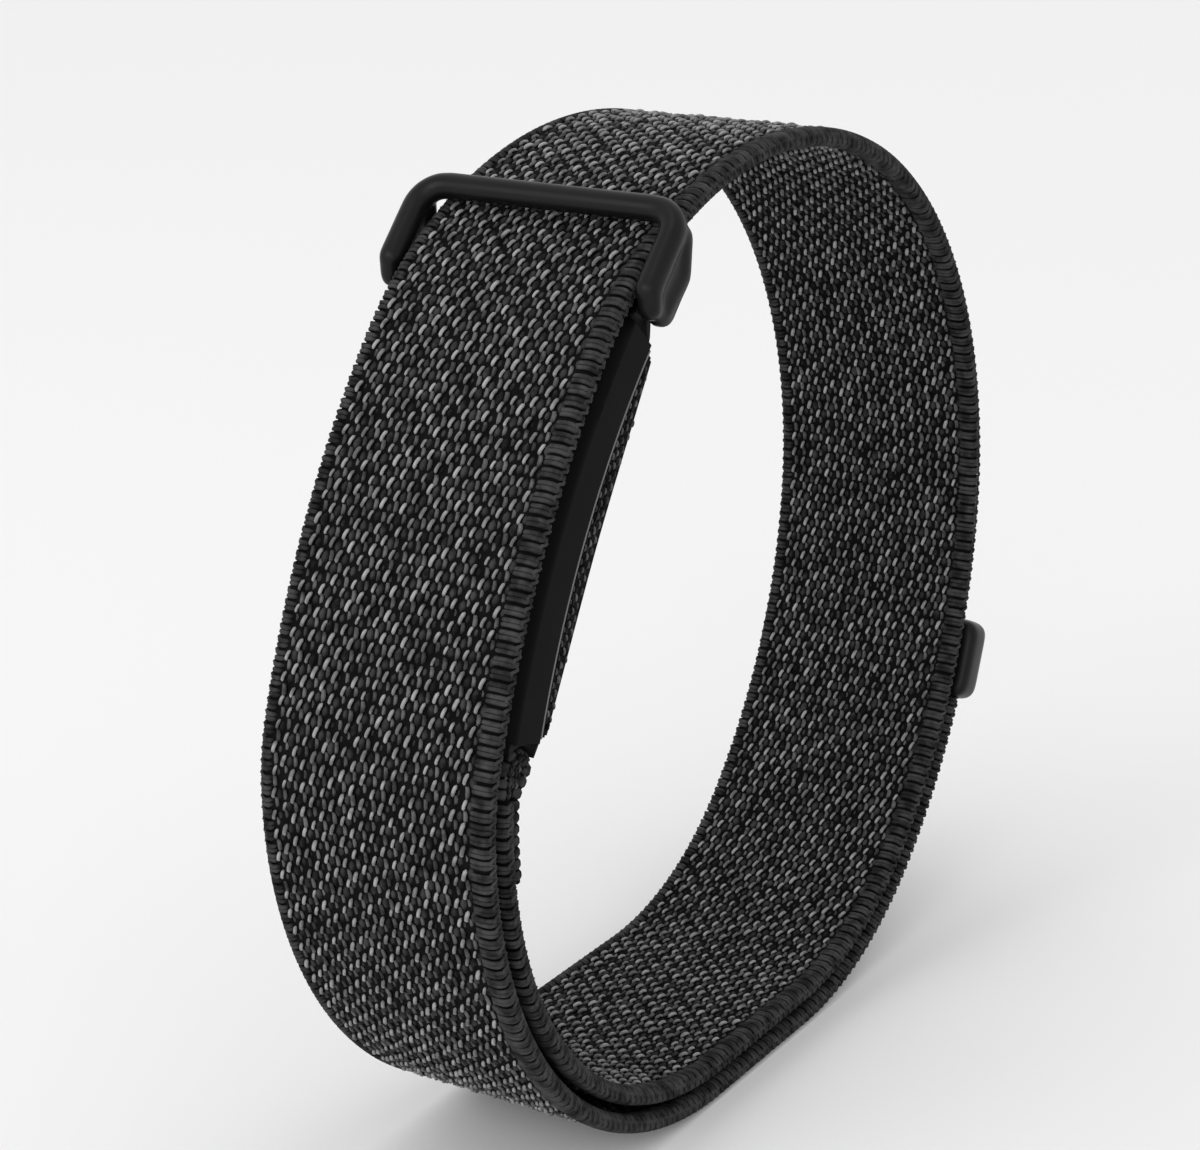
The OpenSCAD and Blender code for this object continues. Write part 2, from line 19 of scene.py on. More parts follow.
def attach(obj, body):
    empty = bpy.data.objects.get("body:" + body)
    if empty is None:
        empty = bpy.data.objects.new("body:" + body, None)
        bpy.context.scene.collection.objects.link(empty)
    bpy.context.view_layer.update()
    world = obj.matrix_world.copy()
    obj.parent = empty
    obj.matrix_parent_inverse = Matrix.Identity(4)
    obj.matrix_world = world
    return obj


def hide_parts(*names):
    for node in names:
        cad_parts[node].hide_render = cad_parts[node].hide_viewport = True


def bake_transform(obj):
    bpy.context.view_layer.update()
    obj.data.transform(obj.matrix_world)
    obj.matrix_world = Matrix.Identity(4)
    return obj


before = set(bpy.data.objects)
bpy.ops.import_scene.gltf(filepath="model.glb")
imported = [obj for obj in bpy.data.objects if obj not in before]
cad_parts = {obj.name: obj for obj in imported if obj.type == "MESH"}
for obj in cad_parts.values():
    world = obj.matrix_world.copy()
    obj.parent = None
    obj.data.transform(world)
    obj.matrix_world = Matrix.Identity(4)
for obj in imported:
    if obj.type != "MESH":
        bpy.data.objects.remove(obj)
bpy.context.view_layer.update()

MM = 0.001
LOG = logging.getLogger("strap")

Point = Tuple[float, float]
Place = Tuple[float, float, float]
Colour = Tuple[float, float, float]
Batch = Tuple[np.ndarray, np.ndarray]


class Body(Enum):
    """The rigid bodies that pieces ride on."""

    STRAP = "strap"
    CLASP = "clasp"
    TAIL = "tail"


class Yarn(Enum):
    """The yarns of the band, by their place in its list of materials."""

    GROUND = 0
    LIGHT = 1
    DARK = 2
    SELVEDGE = 3
    THREAD = 4
    # the near-black middle that shows in the gaps between stitches; its colour is painted shade
    SHADED_CORE = 5


def unit(degrees: float) -> np.ndarray:
    """The direction at an angle from +X towards +Z."""
    return np.array([math.cos(math.radians(degrees)), math.sin(math.radians(degrees))])


def circle(count: int) -> np.ndarray:
    """Directions spread evenly round a circle, as rows of two."""
    turns = np.arange(count) * 2 * math.pi / count
    return np.stack([np.cos(turns), np.sin(turns)], axis=1)


@dataclass(frozen=True)
class Bend:
    """One round stretch of the band's middle: a centre, a radius and two normal angles."""

    centre: Tuple[float, float]
    radius: float
    start: float
    end: float

    def samples(self, step: float) -> Batch:
        """Points along the bend.

        Args:
            step: Largest distance between two points.

        Returns:
            The points and their normal angles.
        """
        length = self.radius * math.radians(self.end - self.start)
        angles = np.linspace(self.start, self.end, max(3, int(length / step) + 2))
        turned = np.radians(angles)
        around = np.stack([np.cos(turned), np.sin(turned)], axis=1)
        return np.array(self.centre) + self.radius * around, angles


@dataclass(frozen=True)
class RingShape:
    """The side view of the band, worked out from the flat that it stands on."""

    band_w: float = 18.0
    band_t: float = 1.5
    layer_gap: float = 0.5
    rest_flat: float = 13.5
    lower_left_r: float = 29.0
    bottom_left_r: float = 27.5
    bottom_right_r: float = 24.0
    right_low_r: float = 39.0
    right_r: float = 33.0
    shoulder_r: float = 32.0
    clasp_bend_r: float = 24.0
    left_r: float = 17.0
    loop_start: float = 172.4
    tip_end: float = 699.5
    pod_from: float = 136.3
    pod_to: float = 162.6
    pod_half_w: float = 8.7
    pod_gap: float = 0.4
    cover_t: float = 3.75
    gasket_t: float = 0.25
    back_t: float = 0.8
    knuckle_r: float = 0.95
    knuckle_gap: float = 0.2
    pin_turn: float = 126.0
    bar_r: float = 0.65
    wrap_t: float = 1.05
    bar_turn: float = 165.8

    @property
    def half_t(self) -> float:
        """Half of the band's thickness."""
        return self.band_t / 2

    @property
    def layer_d(self) -> float:
        """Distance between the middles of the two layers."""
        return self.band_t + self.layer_gap

    def centres(self) -> Dict[str, np.ndarray]:
        """The centres of all the bends.

        Returns:
            Each bend's centre by name, with the two closing radii under crown_r and pod_r.
        """
        base = self.half_t + self.layer_d
        bottom_left = np.array([-self.rest_flat / 2, base + self.bottom_left_r])
        lower_left = bottom_left + (self.bottom_left_r - self.lower_left_r) * unit(225)
        left = lower_left + (self.lower_left_r + self.layer_d - self.left_r) * unit(180)
        bottom_right = np.array([self.rest_flat / 2, base + self.bottom_right_r])
        right_low = bottom_right + (self.bottom_right_r - self.right_low_r) * unit(315)
        right = right_low + (self.right_low_r - self.right_r) * unit(355)
        shoulder = right + (self.right_r - self.shoulder_r) * unit(35)
        sides = np.column_stack([unit(140) - unit(164), unit(70) - unit(120)])
        rest = (
            shoulder + self.shoulder_r * unit(70) - self.clasp_bend_r * unit(120)
            - left - self.left_r * unit(164) + self.clasp_bend_r * unit(140)
        )
        pod_r, crown_r = np.linalg.solve(sides, rest)
        crown = shoulder + (self.shoulder_r - crown_r) * unit(70)
        pod = left + (self.left_r - pod_r) * unit(164)
        clasp = pod + (pod_r - self.clasp_bend_r) * unit(140)
        return {
            "bottom_left": bottom_left, "lower_left": lower_left, "left": left,
            "bottom_right": bottom_right, "right_low": right_low, "right": right,
            "shoulder": shoulder, "crown": crown, "pod": pod, "clasp": clasp,
            "crown_r": crown_r, "pod_r": pod_r,
        }

    def bends(self) -> List[Bend]:
        """The band's middle from the loop, once round inside and on to the tail's tip.

        Returns:
            The bends in order; the angles go on rising through both laps.
        """
        c = self.centres()
        d = self.layer_d
        lap = 360
        return [
            Bend(c["left"], self.left_r - d, self.loop_start, 180),
            Bend(c["lower_left"], self.lower_left_r, 180, 225),
            Bend(c["bottom_left"], self.bottom_left_r, 225, 270),
            Bend(c["bottom_right"], self.bottom_right_r, 270, 315),
            Bend(c["right_low"], self.right_low_r, 315, 355),
            Bend(c["right"], self.right_r, 355, 395),
            Bend(c["shoulder"], self.shoulder_r, 395, 430),
            Bend(c["crown"], c["crown_r"], 430, 480),
            Bend(c["clasp"], self.clasp_bend_r, 480, 500),
            Bend(c["pod"], c["pod_r"], 500, 524),
            Bend(c["left"], self.left_r, 524, 540),
            Bend(c["lower_left"], self.lower_left_r + d, 180 + lap, 225 + lap),
            Bend(c["bottom_left"], self.bottom_left_r + d, 225 + lap, 270 + lap),
            Bend(c["bottom_right"], self.bottom_right_r + d, 270 + lap, 315 + lap),
            Bend(c["right_low"], self.right_low_r + d, 315 + lap, self.tip_end),
        ]

    @property
    def parting_r(self) -> float:
        """The radius of the parting line between the pod's two shells."""
        return self.centres()["pod_r"] - self.half_t - self.pod_gap - self.cover_t

    def pod_line(self, depth: float, start_in: float, end_in: float) -> "Run":
        """A run along the pod.

        Args:
            depth: How far it lies below the parting line.
            start_in: How far inside the pod's upper end it starts, in degrees.
            end_in: The same at the lower end.

        Returns:
            The run.
        """
        start, end = self.pod_from + start_in, self.pod_to - end_in
        return Run.along([Bend(self.centres()["pod"], self.parting_r - depth, start, end)])

    def pin(self) -> np.ndarray:
        """The middle of the clasp's hinge pin."""
        reach = self.clasp_bend_r - self.half_t - self.knuckle_gap - self.knuckle_r
        return self.centres()["clasp"] + reach * unit(self.pin_turn)

    def bar(self) -> np.ndarray:
        """The middle of the bar that the webbing's end is folded round."""
        reach = self.left_r - self.layer_d + self.half_t - self.bar_r - self.wrap_t
        return self.centres()["left"] + reach * unit(self.bar_turn)


class Run:
    """A path in the ring's plane, measured along its length, with its outward normals."""

    STEP: float = 0.25

    def __init__(self, points: np.ndarray, angles: np.ndarray) -> None:
        """Keeps the points and measures the path.

        Args:
            points: The path's points, in order.
            angles: The normal angle at each point, in degrees.
        """
        self.points = points
        self.angles = angles
        steps = np.linalg.norm(np.diff(points, axis=0), axis=1)
        self.lengths = np.concatenate([[0.0], np.cumsum(steps)])

    @classmethod
    def along(cls, bends: Sequence[Bend]) -> "Run":
        """A run through some bends; where two of them don't meet, it goes straight.

        Args:
            bends: The bends in order.

        Returns:
            The run.
        """
        points: List[np.ndarray] = []
        angles: List[np.ndarray] = []
        for bend in bends:
            found, turned = bend.samples(cls.STEP)
            if points and np.linalg.norm(points[-1][-1] - found[0]) < 1e-6:
                found, turned = found[1:], turned[1:]
            points.append(found)
            angles.append(turned)
        return cls(np.concatenate(points), np.concatenate(angles))

    @classmethod
    def through(cls, points: np.ndarray) -> "Run":
        """A run through any points; its outward side is on the left of the way it goes.

        Args:
            points: The path's points, in order.

        Returns:
            The run.
        """
        ahead = np.gradient(points, axis=0)
        angles = np.degrees(np.unwrap(np.arctan2(ahead[:, 1], ahead[:, 0]))) + 90
        return cls(points, angles)

    @property
    def length(self) -> float:
        """The length of the whole run."""
        return float(self.lengths[-1])

    def at(self, angle: float) -> float:
        """The distance along the run where its normal first has an angle.

        Args:
            angle: The normal's angle, in degrees.

        Returns:
            The distance, held inside the run.
        """
        first = int(np.searchsorted(self.angles, angle))
        if first <= 0:
            return 0.0
        if first >= len(self.angles):
            return self.length
        a0, a1 = self.angles[first - 1], self.angles[first]
        share = 0.0 if a1 == a0 else (angle - a0) / (a1 - a0)
        before, after = self.lengths[first - 1], self.lengths[first]
        return float(before + share * (after - before))

    def place(self, local: np.ndarray) -> np.ndarray:
        """Lays points given on the flat band into space.

        Args:
            local: Rows of (across, along, height), in millimetres.

        Returns:
            Rows of X, Y and Z in metres.
        """
        along = local[:, 1]
        angles = np.radians(np.interp(along, self.lengths, self.angles))
        beyond = along - np.clip(along, 0.0, self.length)
        x = np.interp(along, self.lengths, self.points[:, 0])
        z = np.interp(along, self.lengths, self.points[:, 1])
        x = x + np.cos(angles) * local[:, 2] - np.sin(angles) * beyond
        z = z + np.sin(angles) * local[:, 2] + np.cos(angles) * beyond
        return np.stack([x, local[:, 0], z], axis=1) * MM


def add_object(name: str, data: bpy.types.ID) -> bpy.types.Object:
    """A new object, linked to the scene.

    Args:
        name: Its name.
        data: Its mesh, light or camera.

    Returns:
        The object.
    """
    made = bpy.data.objects.new(name, data)
    bpy.context.scene.collection.objects.link(made)
    return made


def shade_smooth(mesh: bpy.types.Mesh) -> None:
    """Shades all of a mesh's faces smooth."""
    mesh.polygons.foreach_set("use_smooth", np.ones(len(mesh.polygons), dtype=bool))


def paint(mesh: bpy.types.Mesh, material: bpy.types.Material) -> None:
    """Gives a mesh one material."""
    mesh.materials.clear()
    mesh.materials.append(material)


class MeshMaker:
    """Gathers four-sided faces in batches and turns them into one object."""

    def __init__(self) -> None:
        """Starts with nothing in it."""
        self.points: List[np.ndarray] = []
        self.faces: List[np.ndarray] = []
        self.slots: List[np.ndarray] = []
        self.count = 0

    def add(self, points: np.ndarray, faces: np.ndarray, slot: int = 0) -> None:
        """Adds one batch.

        Args:
            points: Rows of X, Y and Z in metres.
            faces: Rows of four corners, counted from this batch's first point.
            slot: The place of the faces' material.
        """
        self.points.append(points)
        self.faces.append(faces + self.count)
        self.slots.append(np.full(len(faces), slot, np.int32))
        self.count += len(points)

    def strip(self, run: Run, along: np.ndarray, outline: Sequence[Point], slot: int = 0,
              side: int = 1, scale: Union[float, np.ndarray] = 1.0) -> None:
        """Adds a closed strip: one outline, set along a run ring by ring.

        Args:
            run: The line that it follows.
            along: Where its rings stand along the run.
            outline: The outline's corners, as (across, height).
            slot: The place of the faces' material.
            side: 1 for the +Y side, or -1 to mirror the outline to the other.
            scale: A factor for the heights, one for all the rings or one for each.
        """
        corners = np.array(outline)
        local = np.empty((len(along), len(corners), 3))
        local[:, :, 0] = side * corners[:, 0]
        local[:, :, 1] = along[:, None]
        local[:, :, 2] = corners[:, 1] * np.reshape(scale, (-1, 1))
        self.add(run.place(local.reshape(-1, 3)), tube_faces(len(along), len(corners))[:, ::-side], slot)

    def loft(self, lines: Sequence[np.ndarray], widths: Sequence[float], side: int, closed: bool) -> None:
        """Adds a form between lines in the ring's plane, each at a width of its own.

        Args:
            lines: Rows of (X, Z) in millimetres, as many in each line.
            widths: Each line's distance from the middle of the band.
            side: 1 for the +Y side and -1 for the other.
            closed: True where the lines run round and meet themselves.
        """
        rings = np.stack([np.insert(line, 1, side * w, axis=1) for line, w in zip(lines, widths)], axis=1)
        self.add(rings.reshape(-1, 3) * MM, tube_faces(len(rings), len(lines), closed)[:, ::side])

    def finish(self, name: str, materials: Sequence[bpy.types.Material]) -> bpy.types.Object:
        """Makes the object.

        Args:
            name: Its name.
            materials: Its materials, in the order of their slots.

        Returns:
            The object, smooth shaded and linked to the scene.
        """
        points = np.concatenate(self.points).astype(np.float32)
        faces = np.concatenate(self.faces).astype(np.int32)
        mesh = bpy.data.meshes.new(name)
        mesh.vertices.add(len(points))
        mesh.vertices.foreach_set("co", points.ravel())
        mesh.loops.add(faces.size)
        mesh.loops.foreach_set("vertex_index", faces.ravel())
        mesh.polygons.add(len(faces))
        mesh.polygons.foreach_set("loop_start", np.arange(0, faces.size, 4, dtype=np.int32))
        mesh.polygons.foreach_set("material_index", np.concatenate(self.slots))
        mesh.update(calc_edges=True)
        mesh.validate()
        shade_smooth(mesh)
        for material in materials:
            mesh.materials.append(material)
        piece = add_object(name, mesh)
        LOG.info("%s: %d faces", name, len(faces))
        return piece


def tube_faces(rings: int, sides: int, closed: bool = False) -> np.ndarray:
    """The faces of a tube: rings of points joined up, capped at both ends or closed on itself.

    Args:
        rings: How many rings it has.
        sides: How many points a ring has, an even number where it has caps.
        closed: True where the last ring joins the first.

    Returns:
        Rows of four corners.
    """
    faces = []
    for ring in range(rings if closed else rings - 1):
        low, high = ring * sides, (ring + 1) % rings * sides
        for side in range(sides):
            after = (side + 1) % sides
            faces.append((low + side, low + after, high + after, high + side))
    last = (rings - 1) * sides
    for k in range(0 if closed else sides // 2 - 1):
        faces.append((k, sides - 1 - k, sides - 2 - k, k + 1))
        faces.append((last + k, last + k + 1, last + sides - 2 - k, last + sides - 1 - k))
    return np.array(faces, dtype=np.int64)


def yarn_rings(centres: np.ndarray, half_w: float, half_h: float, sides: int,
               end_share: float = 1.0) -> np.ndarray:
    """Rings of points round a yarn's path, each square to it.

    Args:
        centres: The path's points.
        half_w: Half of the yarn's width.
        half_h: Half of its height.
        sides: How many points a ring has.
        end_share: How thick the two ends are, as a share of the rest.

    Returns:
        The points, ring by ring.
    """
    ahead = np.gradient(centres, axis=0)
    ahead /= np.linalg.norm(ahead, axis=1)[:, None]
    side = np.cross(ahead, np.array([0.0, 0.0, 1.0]))
    side[np.linalg.norm(side, axis=1) < 0.02] = (0.0, 1.0, 0.0)
    side /= np.linalg.norm(side, axis=1)[:, None]
    rise = np.cross(side, ahead)
    ring = circle(sides) * (half_w, half_h)
    offsets = side[:, None, :] * ring[None, :, :1] + rise[:, None, :] * ring[None, :, 1:]
    share = np.ones(len(centres))
    share[[0, -1]] = end_share
    return (centres[:, None, :] + offsets * share[:, None, None]).reshape(-1, 3)


@dataclass(frozen=True)
class Strand:
    """A short piece of yarn: a path on the flat band and its half width and half height."""

    path: Tuple[Place, ...]
    half_w: float
    half_h: float
    sides: int = 6
    steps: int = 5
    end_share: float = 0.45

    def rings(self) -> np.ndarray:
        """The strand's points.

        Returns:
            The points, ring by ring, about the strand's own origin.
        """
        knots = np.array(self.path, float)
        at = np.linspace(0, len(knots) - 1, self.steps + 1)
        centres = np.stack([np.interp(at, np.arange(len(knots)), column) for column in knots.T], axis=1)
        return yarn_rings(centres, self.half_w, self.half_h, self.sides, self.end_share)

    def repeat(self, places: np.ndarray, sizes: Union[float, np.ndarray] = 1.0) -> Batch:
        """Many copies of the strand on the flat band.

        Args:
            places: Rows of (across, along, height) to add to each copy.
            sizes: A size factor, one for all the copies or one for each.

        Returns:
            All the points and all the faces.
        """
        one = self.rings()
        copies = one[None] * np.reshape(sizes, (-1, 1, 1)) + places[:, None, :]
        shape = tube_faces(self.steps + 1, self.sides)
        starts = (np.arange(len(places)) * len(one))[:, None, None]
        return copies.reshape(-1, 3), (shape[None] + starts).reshape(-1, 4)


def rib_strand(over: Sequence[Point], side: int, half_w: float, half_h: float, steps: int,
               end_share: float, lean: float = 0.0) -> Strand:
    """A rib that wraps one edge of the band, over it and back under it.

    Args:
        over: The rib's upper half, from inside to outside, as (across, height).
        side: 1 for the +Y edge and -1 for the other.
        half_w: Half of its width.
        half_h: Half of its height.
        steps: How many lengths it is made in.
        end_share: How thick its two ends are, as a share of the rest.
        lean: How far it leans along the band for each millimetre of height.

    Returns:
        The rib.
    """
    wrap = [*over, *((across, -height) for across, height in reversed(over))]
    knots = [(side * across, lean * side * height, height) for across, height in wrap]
    return Strand(tuple(knots[::side]), half_w, half_h, 6, steps, end_share)


def strip_outline(low: float, high: float, cut_w: float, side_h: float, top_h: float) -> List[Point]:
    """The outline of a flat strip with its four corners cut off.

    Args:
        low: Where it begins across the band.
        high: Where it ends.
        cut_w: Width of the cuts.
        side_h: Half of the height of its sides.
        top_h: Half of its whole height.

    Returns:
        Its corners, as (across, height).
    """
    under = [(low, -side_h), (low + cut_w, -top_h), (high - cut_w, -top_h), (high, -side_h)]
    return [*under, *((across, -height) for across, height in reversed(under))]


@dataclass(frozen=True)
class Weave:
    """The band's knit: sizes of its columns, rows, legs and selvedges."""

    column: float = 0.78
    row: float = 1.5
    knit_half_w: float = 7.5
    rib: float = 0.8
    rib_over: Tuple[Point, ...] = ((8.25, 0.60), (8.55, 0.56), (8.76, 0.42), (8.85, 0.18))
    rib_lean: float = 0.12
    rib_half: Point = (0.165, 0.12)
    rib_gap: float = 0.15
    thread_r: float = 0.12
    thread_wave: Point = (0.05, 0.34)
    core_half_w: float = 8.74
    core_half_t: float = 0.42
    core_cut: float = 0.3
    shift: Place = (0.035, 0.05, 0.014)
    size_spread: float = 0.09
    light: Strand = Strand((
        (0.07, 0.36, 0.47), (0.03, 0.19, 0.57), (-0.04, 0.0, 0.60), (-0.10, -0.19, 0.58),
        (-0.15, -0.36, 0.47)), 0.135, 0.11, 6, 6)
    dark: Strand = Strand((
        (0.02, 0.34, 0.34), (-0.2, 0.48, 0.48), (-0.24, 0.74, 0.50), (-0.1, 1.02, 0.38)),
        0.165, 0.13, 4, 4)
    ground: Strand = Strand((
        (-0.46, -0.32, 0.34), (-0.43, 0.05, 0.45), (-0.40, 0.40, 0.34)), 0.25, 0.16, 4, 3)

    def cells(self, start: float, end: float) -> np.ndarray:
        """The middles of the light legs on a stretch of band.

        Args:
            start: Where the stretch begins along the band.
            end: Where it ends.

        Returns:
            Rows of (across, along, 0).
        """
        columns = int(self.knit_half_w / self.column)
        found = []
        for column in range(-columns, columns + 2):
            offset = 0.5 * self.row * (column % 2)
            first = math.ceil((start - offset) / self.row)
            last = math.ceil((end - offset) / self.row)
            for k in range(first, last):
                found.append((column * self.column, k * self.row + offset, 0.0))
        return np.array(found)

    def stitches(self, cells: np.ndarray, full: bool, face: int,
                 seed: int) -> Iterator[Tuple[np.ndarray, np.ndarray, Yarn]]:
        """The yarns of some cells, each a little out of place as in real knit.

        Args:
            cells: Rows of (across, along, height).
            full: False where the face is hidden, so that only the ground yarn is made.
            face: 1 for the outer face and -1 for the inner one.
            seed: Seeds the small shifts.

        Yields:
            Points on the flat band, faces and the yarn.
        """
        random = np.random.default_rng(seed + 1 + face)
        strands = [(self.ground, Yarn.GROUND)]
        if full:
            strands += [(self.light, Yarn.LIGHT), (self.dark, Yarn.DARK)]
        flip = np.array([1.0, face, face])
        for strand, yarn in strands:
            shift = random.normal(0.0, self.shift, (len(cells), 3))
            sizes = random.normal(1.0, self.size_spread, len(cells)).clip(0.8, 1.15)
            points, faces = strand.repeat(np.zeros((len(cells), 3)), sizes)
            each = len(points) // len(cells)
            yield points * flip + np.repeat(cells + shift, each, axis=0), faces, yarn

    def lay(self, maker: MeshMaker, run: Run, cells: np.ndarray, full: bool, face: int, seed: int) -> None:
        """Lays the stitches of some cells along a run.

        Args:
            maker: Where the faces go.
            run: The line that the cloth follows.
            cells: Rows of (across, along, height).
            full: False where the face is hidden, so that only the ground yarn is made.
            face: 1 for the outer face and -1 for the inner one.
            seed: Seeds the small shifts.
        """
        for points, faces, yarn in self.stitches(cells, full, face, seed):
            maker.add(run.place(points), faces, yarn.value)


def scaled(colour: Colour, factor: float) -> Colour:
    """A colour made darker or lighter."""
    return tuple(min(1.0, value * factor) for value in colour)


@dataclass(frozen=True)
class YarnFinish:
    """A spun yarn: its colour changes a little from stitch to stitch and along its fibres."""

    name: str
    colour: Colour
    spread: float = 0.4
    roughness: float = 0.6
    sheen: float = 0.05
    patch: float = 0.0011
    fibre: float = 0.00012
    specular: float = 0.07

    def material(self) -> bpy.types.Material:
        """Builds the yarn's material.

        Returns:
            The material.
        """
        nodes = Nodes(self.name)
        stitch = nodes.noise(1 / self.patch, 2.0)
        fibres = nodes.noise(1 / self.fibre, 3.0)
        low, high = scaled(self.colour, 1 - self.spread), scaled(self.colour, 1 + self.spread)
        tone = nodes.ramp(stitch, [(0.36, low), (0.64, high)])
        nodes.link(nodes.mix(fibres, tone, scaled(self.colour, 0.72), 0.45), "Base Color")
        nodes.link(nodes.span(fibres, self.roughness - 0.12, self.roughness + 0.12), "Roughness")
        nodes.link(nodes.bump(fibres, 0.35, 0.00003), "Normal")
        nodes.set("Sheen Weight", self.sheen)
        nodes.set("Sheen Roughness", 0.5)
        nodes.set("Specular IOR Level", self.specular)
        return nodes.material


@dataclass(frozen=True)
class CoatedFinish:
    """A satin coating or moulded plastic: fine grain, faint smudges, and a painted highlight that makes its
    sharp convex edges paler.
    """

    name: str
    colour: Colour
    roughness: float = 0.42
    metallic: float = 0.0
    grain: float = 0.0001
    grain_depth: float = 0.000006
    # how much paler the painted edge highlight makes the convex edges
    edge_highlight: float = 1.6
    specular: float = 0.5

    def material(self) -> bpy.types.Material:
        """Builds the coating's material.

        Returns:
            The material.
        """
        nodes = Nodes(self.name)
        grain = nodes.noise(1 / self.grain, 2.0)
        smudge = nodes.noise(260.0, 3.0)
        edge = nodes.add("ShaderNodeNewGeometry").outputs["Pointiness"]
        # painted highlight: convex edges, found by pointiness, are mixed towards a paler colour
        painted_highlight_rim = nodes.ramp(edge, [(0.52, (0.0, 0.0, 0.0)), (0.62, (1.0, 1.0, 1.0))])
        base = nodes.ramp(smudge, [(0.35, scaled(self.colour, 0.85)), (0.65, self.colour)])
        nodes.link(nodes.mix(painted_highlight_rim, base, scaled(self.colour, self.edge_highlight), 0.5), "Base Color")
        nodes.link(nodes.span(smudge, self.roughness - 0.06, self.roughness + 0.07), "Roughness")
        nodes.link(nodes.bump(grain, 0.4, self.grain_depth), "Normal")
        nodes.set("Metallic", self.metallic)
        nodes.set("Specular IOR Level", self.specular)
        return nodes.material


class Nodes:
    """Builds one material's nodes by short calls."""

    def __init__(self, name: str) -> None:
        """Starts a material with a Principled shader and the object's coordinates.

        Args:
            name: The material's name.
        """
        self.material = bpy.data.materials.new(name)
        self.material.use_nodes = True
        self.tree = self.material.node_tree
        self.shader = self.tree.nodes["Principled BSDF"]
        self.place = self.add("ShaderNodeTexCoord").outputs["Object"]

    def add(self, kind: str, inputs: Optional[Dict] = None) -> bpy.types.Node:
        """Adds a node.

        Args:
            kind: Its type in the node tree.
            inputs: What its sockets get, by name or place: a value, or an output to link.

        Returns:
            The node.
        """
        node = self.tree.nodes.new(kind)
        for socket, given in (inputs or {}).items():
            if isinstance(given, bpy.types.NodeSocket):
                self.tree.links.new(given, node.inputs[socket])
            else:
                node.inputs[socket].default_value = given
        return node

    def set(self, socket: str, value: float) -> None:
        """Sets one of the shader's own sockets."""
        self.shader.inputs[socket].default_value = value

    def link(self, output: bpy.types.NodeSocket, socket: str) -> None:
        """Links an output to one of the shader's sockets."""
        self.tree.links.new(output, self.shader.inputs[socket])

    def noise(self, scale: float, detail: float) -> bpy.types.NodeSocket:
        """A noise texture's value, from its cells per metre and its layers of finer noise."""
        inputs = {"Scale": scale, "Detail": detail, "Vector": self.place}
        return self.add("ShaderNodeTexNoise", inputs).outputs["Fac"]

    def ramp(self, value: bpy.types.NodeSocket,
             stops: Sequence[Tuple[float, Colour]]) -> bpy.types.NodeSocket:
        """Colours by value.

        Args:
            value: The value read.
            stops: The two places on the ramp with their colours.

        Returns:
            The colour's output.
        """
        node = self.add("ShaderNodeValToRGB", {"Fac": value})
        for element, (place, colour) in zip(node.color_ramp.elements, stops):
            element.position = place
            element.color = (*colour, 1.0)
        return node.outputs["Color"]

    def mix(self, share: bpy.types.NodeSocket, first: bpy.types.NodeSocket, second: Colour,
            most: float) -> bpy.types.NodeSocket:
        """Mixes a plain colour into another.

        Args:
            share: How much of the second, from 0 to 1.
            first: The colour mixed into.
            second: The plain colour.
            most: The largest share that it takes.

        Returns:
            The mixed colour's output.
        """
        part = self.add("ShaderNodeMath", {0: share, 1: most})
        part.operation = "MULTIPLY"
        inputs = {"Fac": part.outputs[0], "Color1": first, "Color2": (*second, 1.0)}
        return self.add("ShaderNodeMixRGB", inputs).outputs["Color"]

    def span(self, value: bpy.types.NodeSocket, low: float, high: float) -> bpy.types.NodeSocket:
        """Stretches a value from 0 to 1 over another range."""
        inputs = {"Value": value, "To Min": low, "To Max": high}
        return self.add("ShaderNodeMapRange", inputs).outputs["Result"]

    def bump(self, height: bpy.types.NodeSocket, strength: float, depth: float) -> bpy.types.NodeSocket:
        """A bump's normal, from a height, a strength and a depth in metres."""
        inputs = {"Height": height, "Strength": strength, "Distance": depth}
        return self.add("ShaderNodeBump", inputs).outputs["Normal"]


@dataclass(frozen=True)
class Stretch:
    """A length of band that becomes one piece."""

    name: str
    start: float
    end: float
    outer_knit: bool
    inner_knit: bool
    nodes: Tuple[str, ...]
    knit_end: float = 0.0


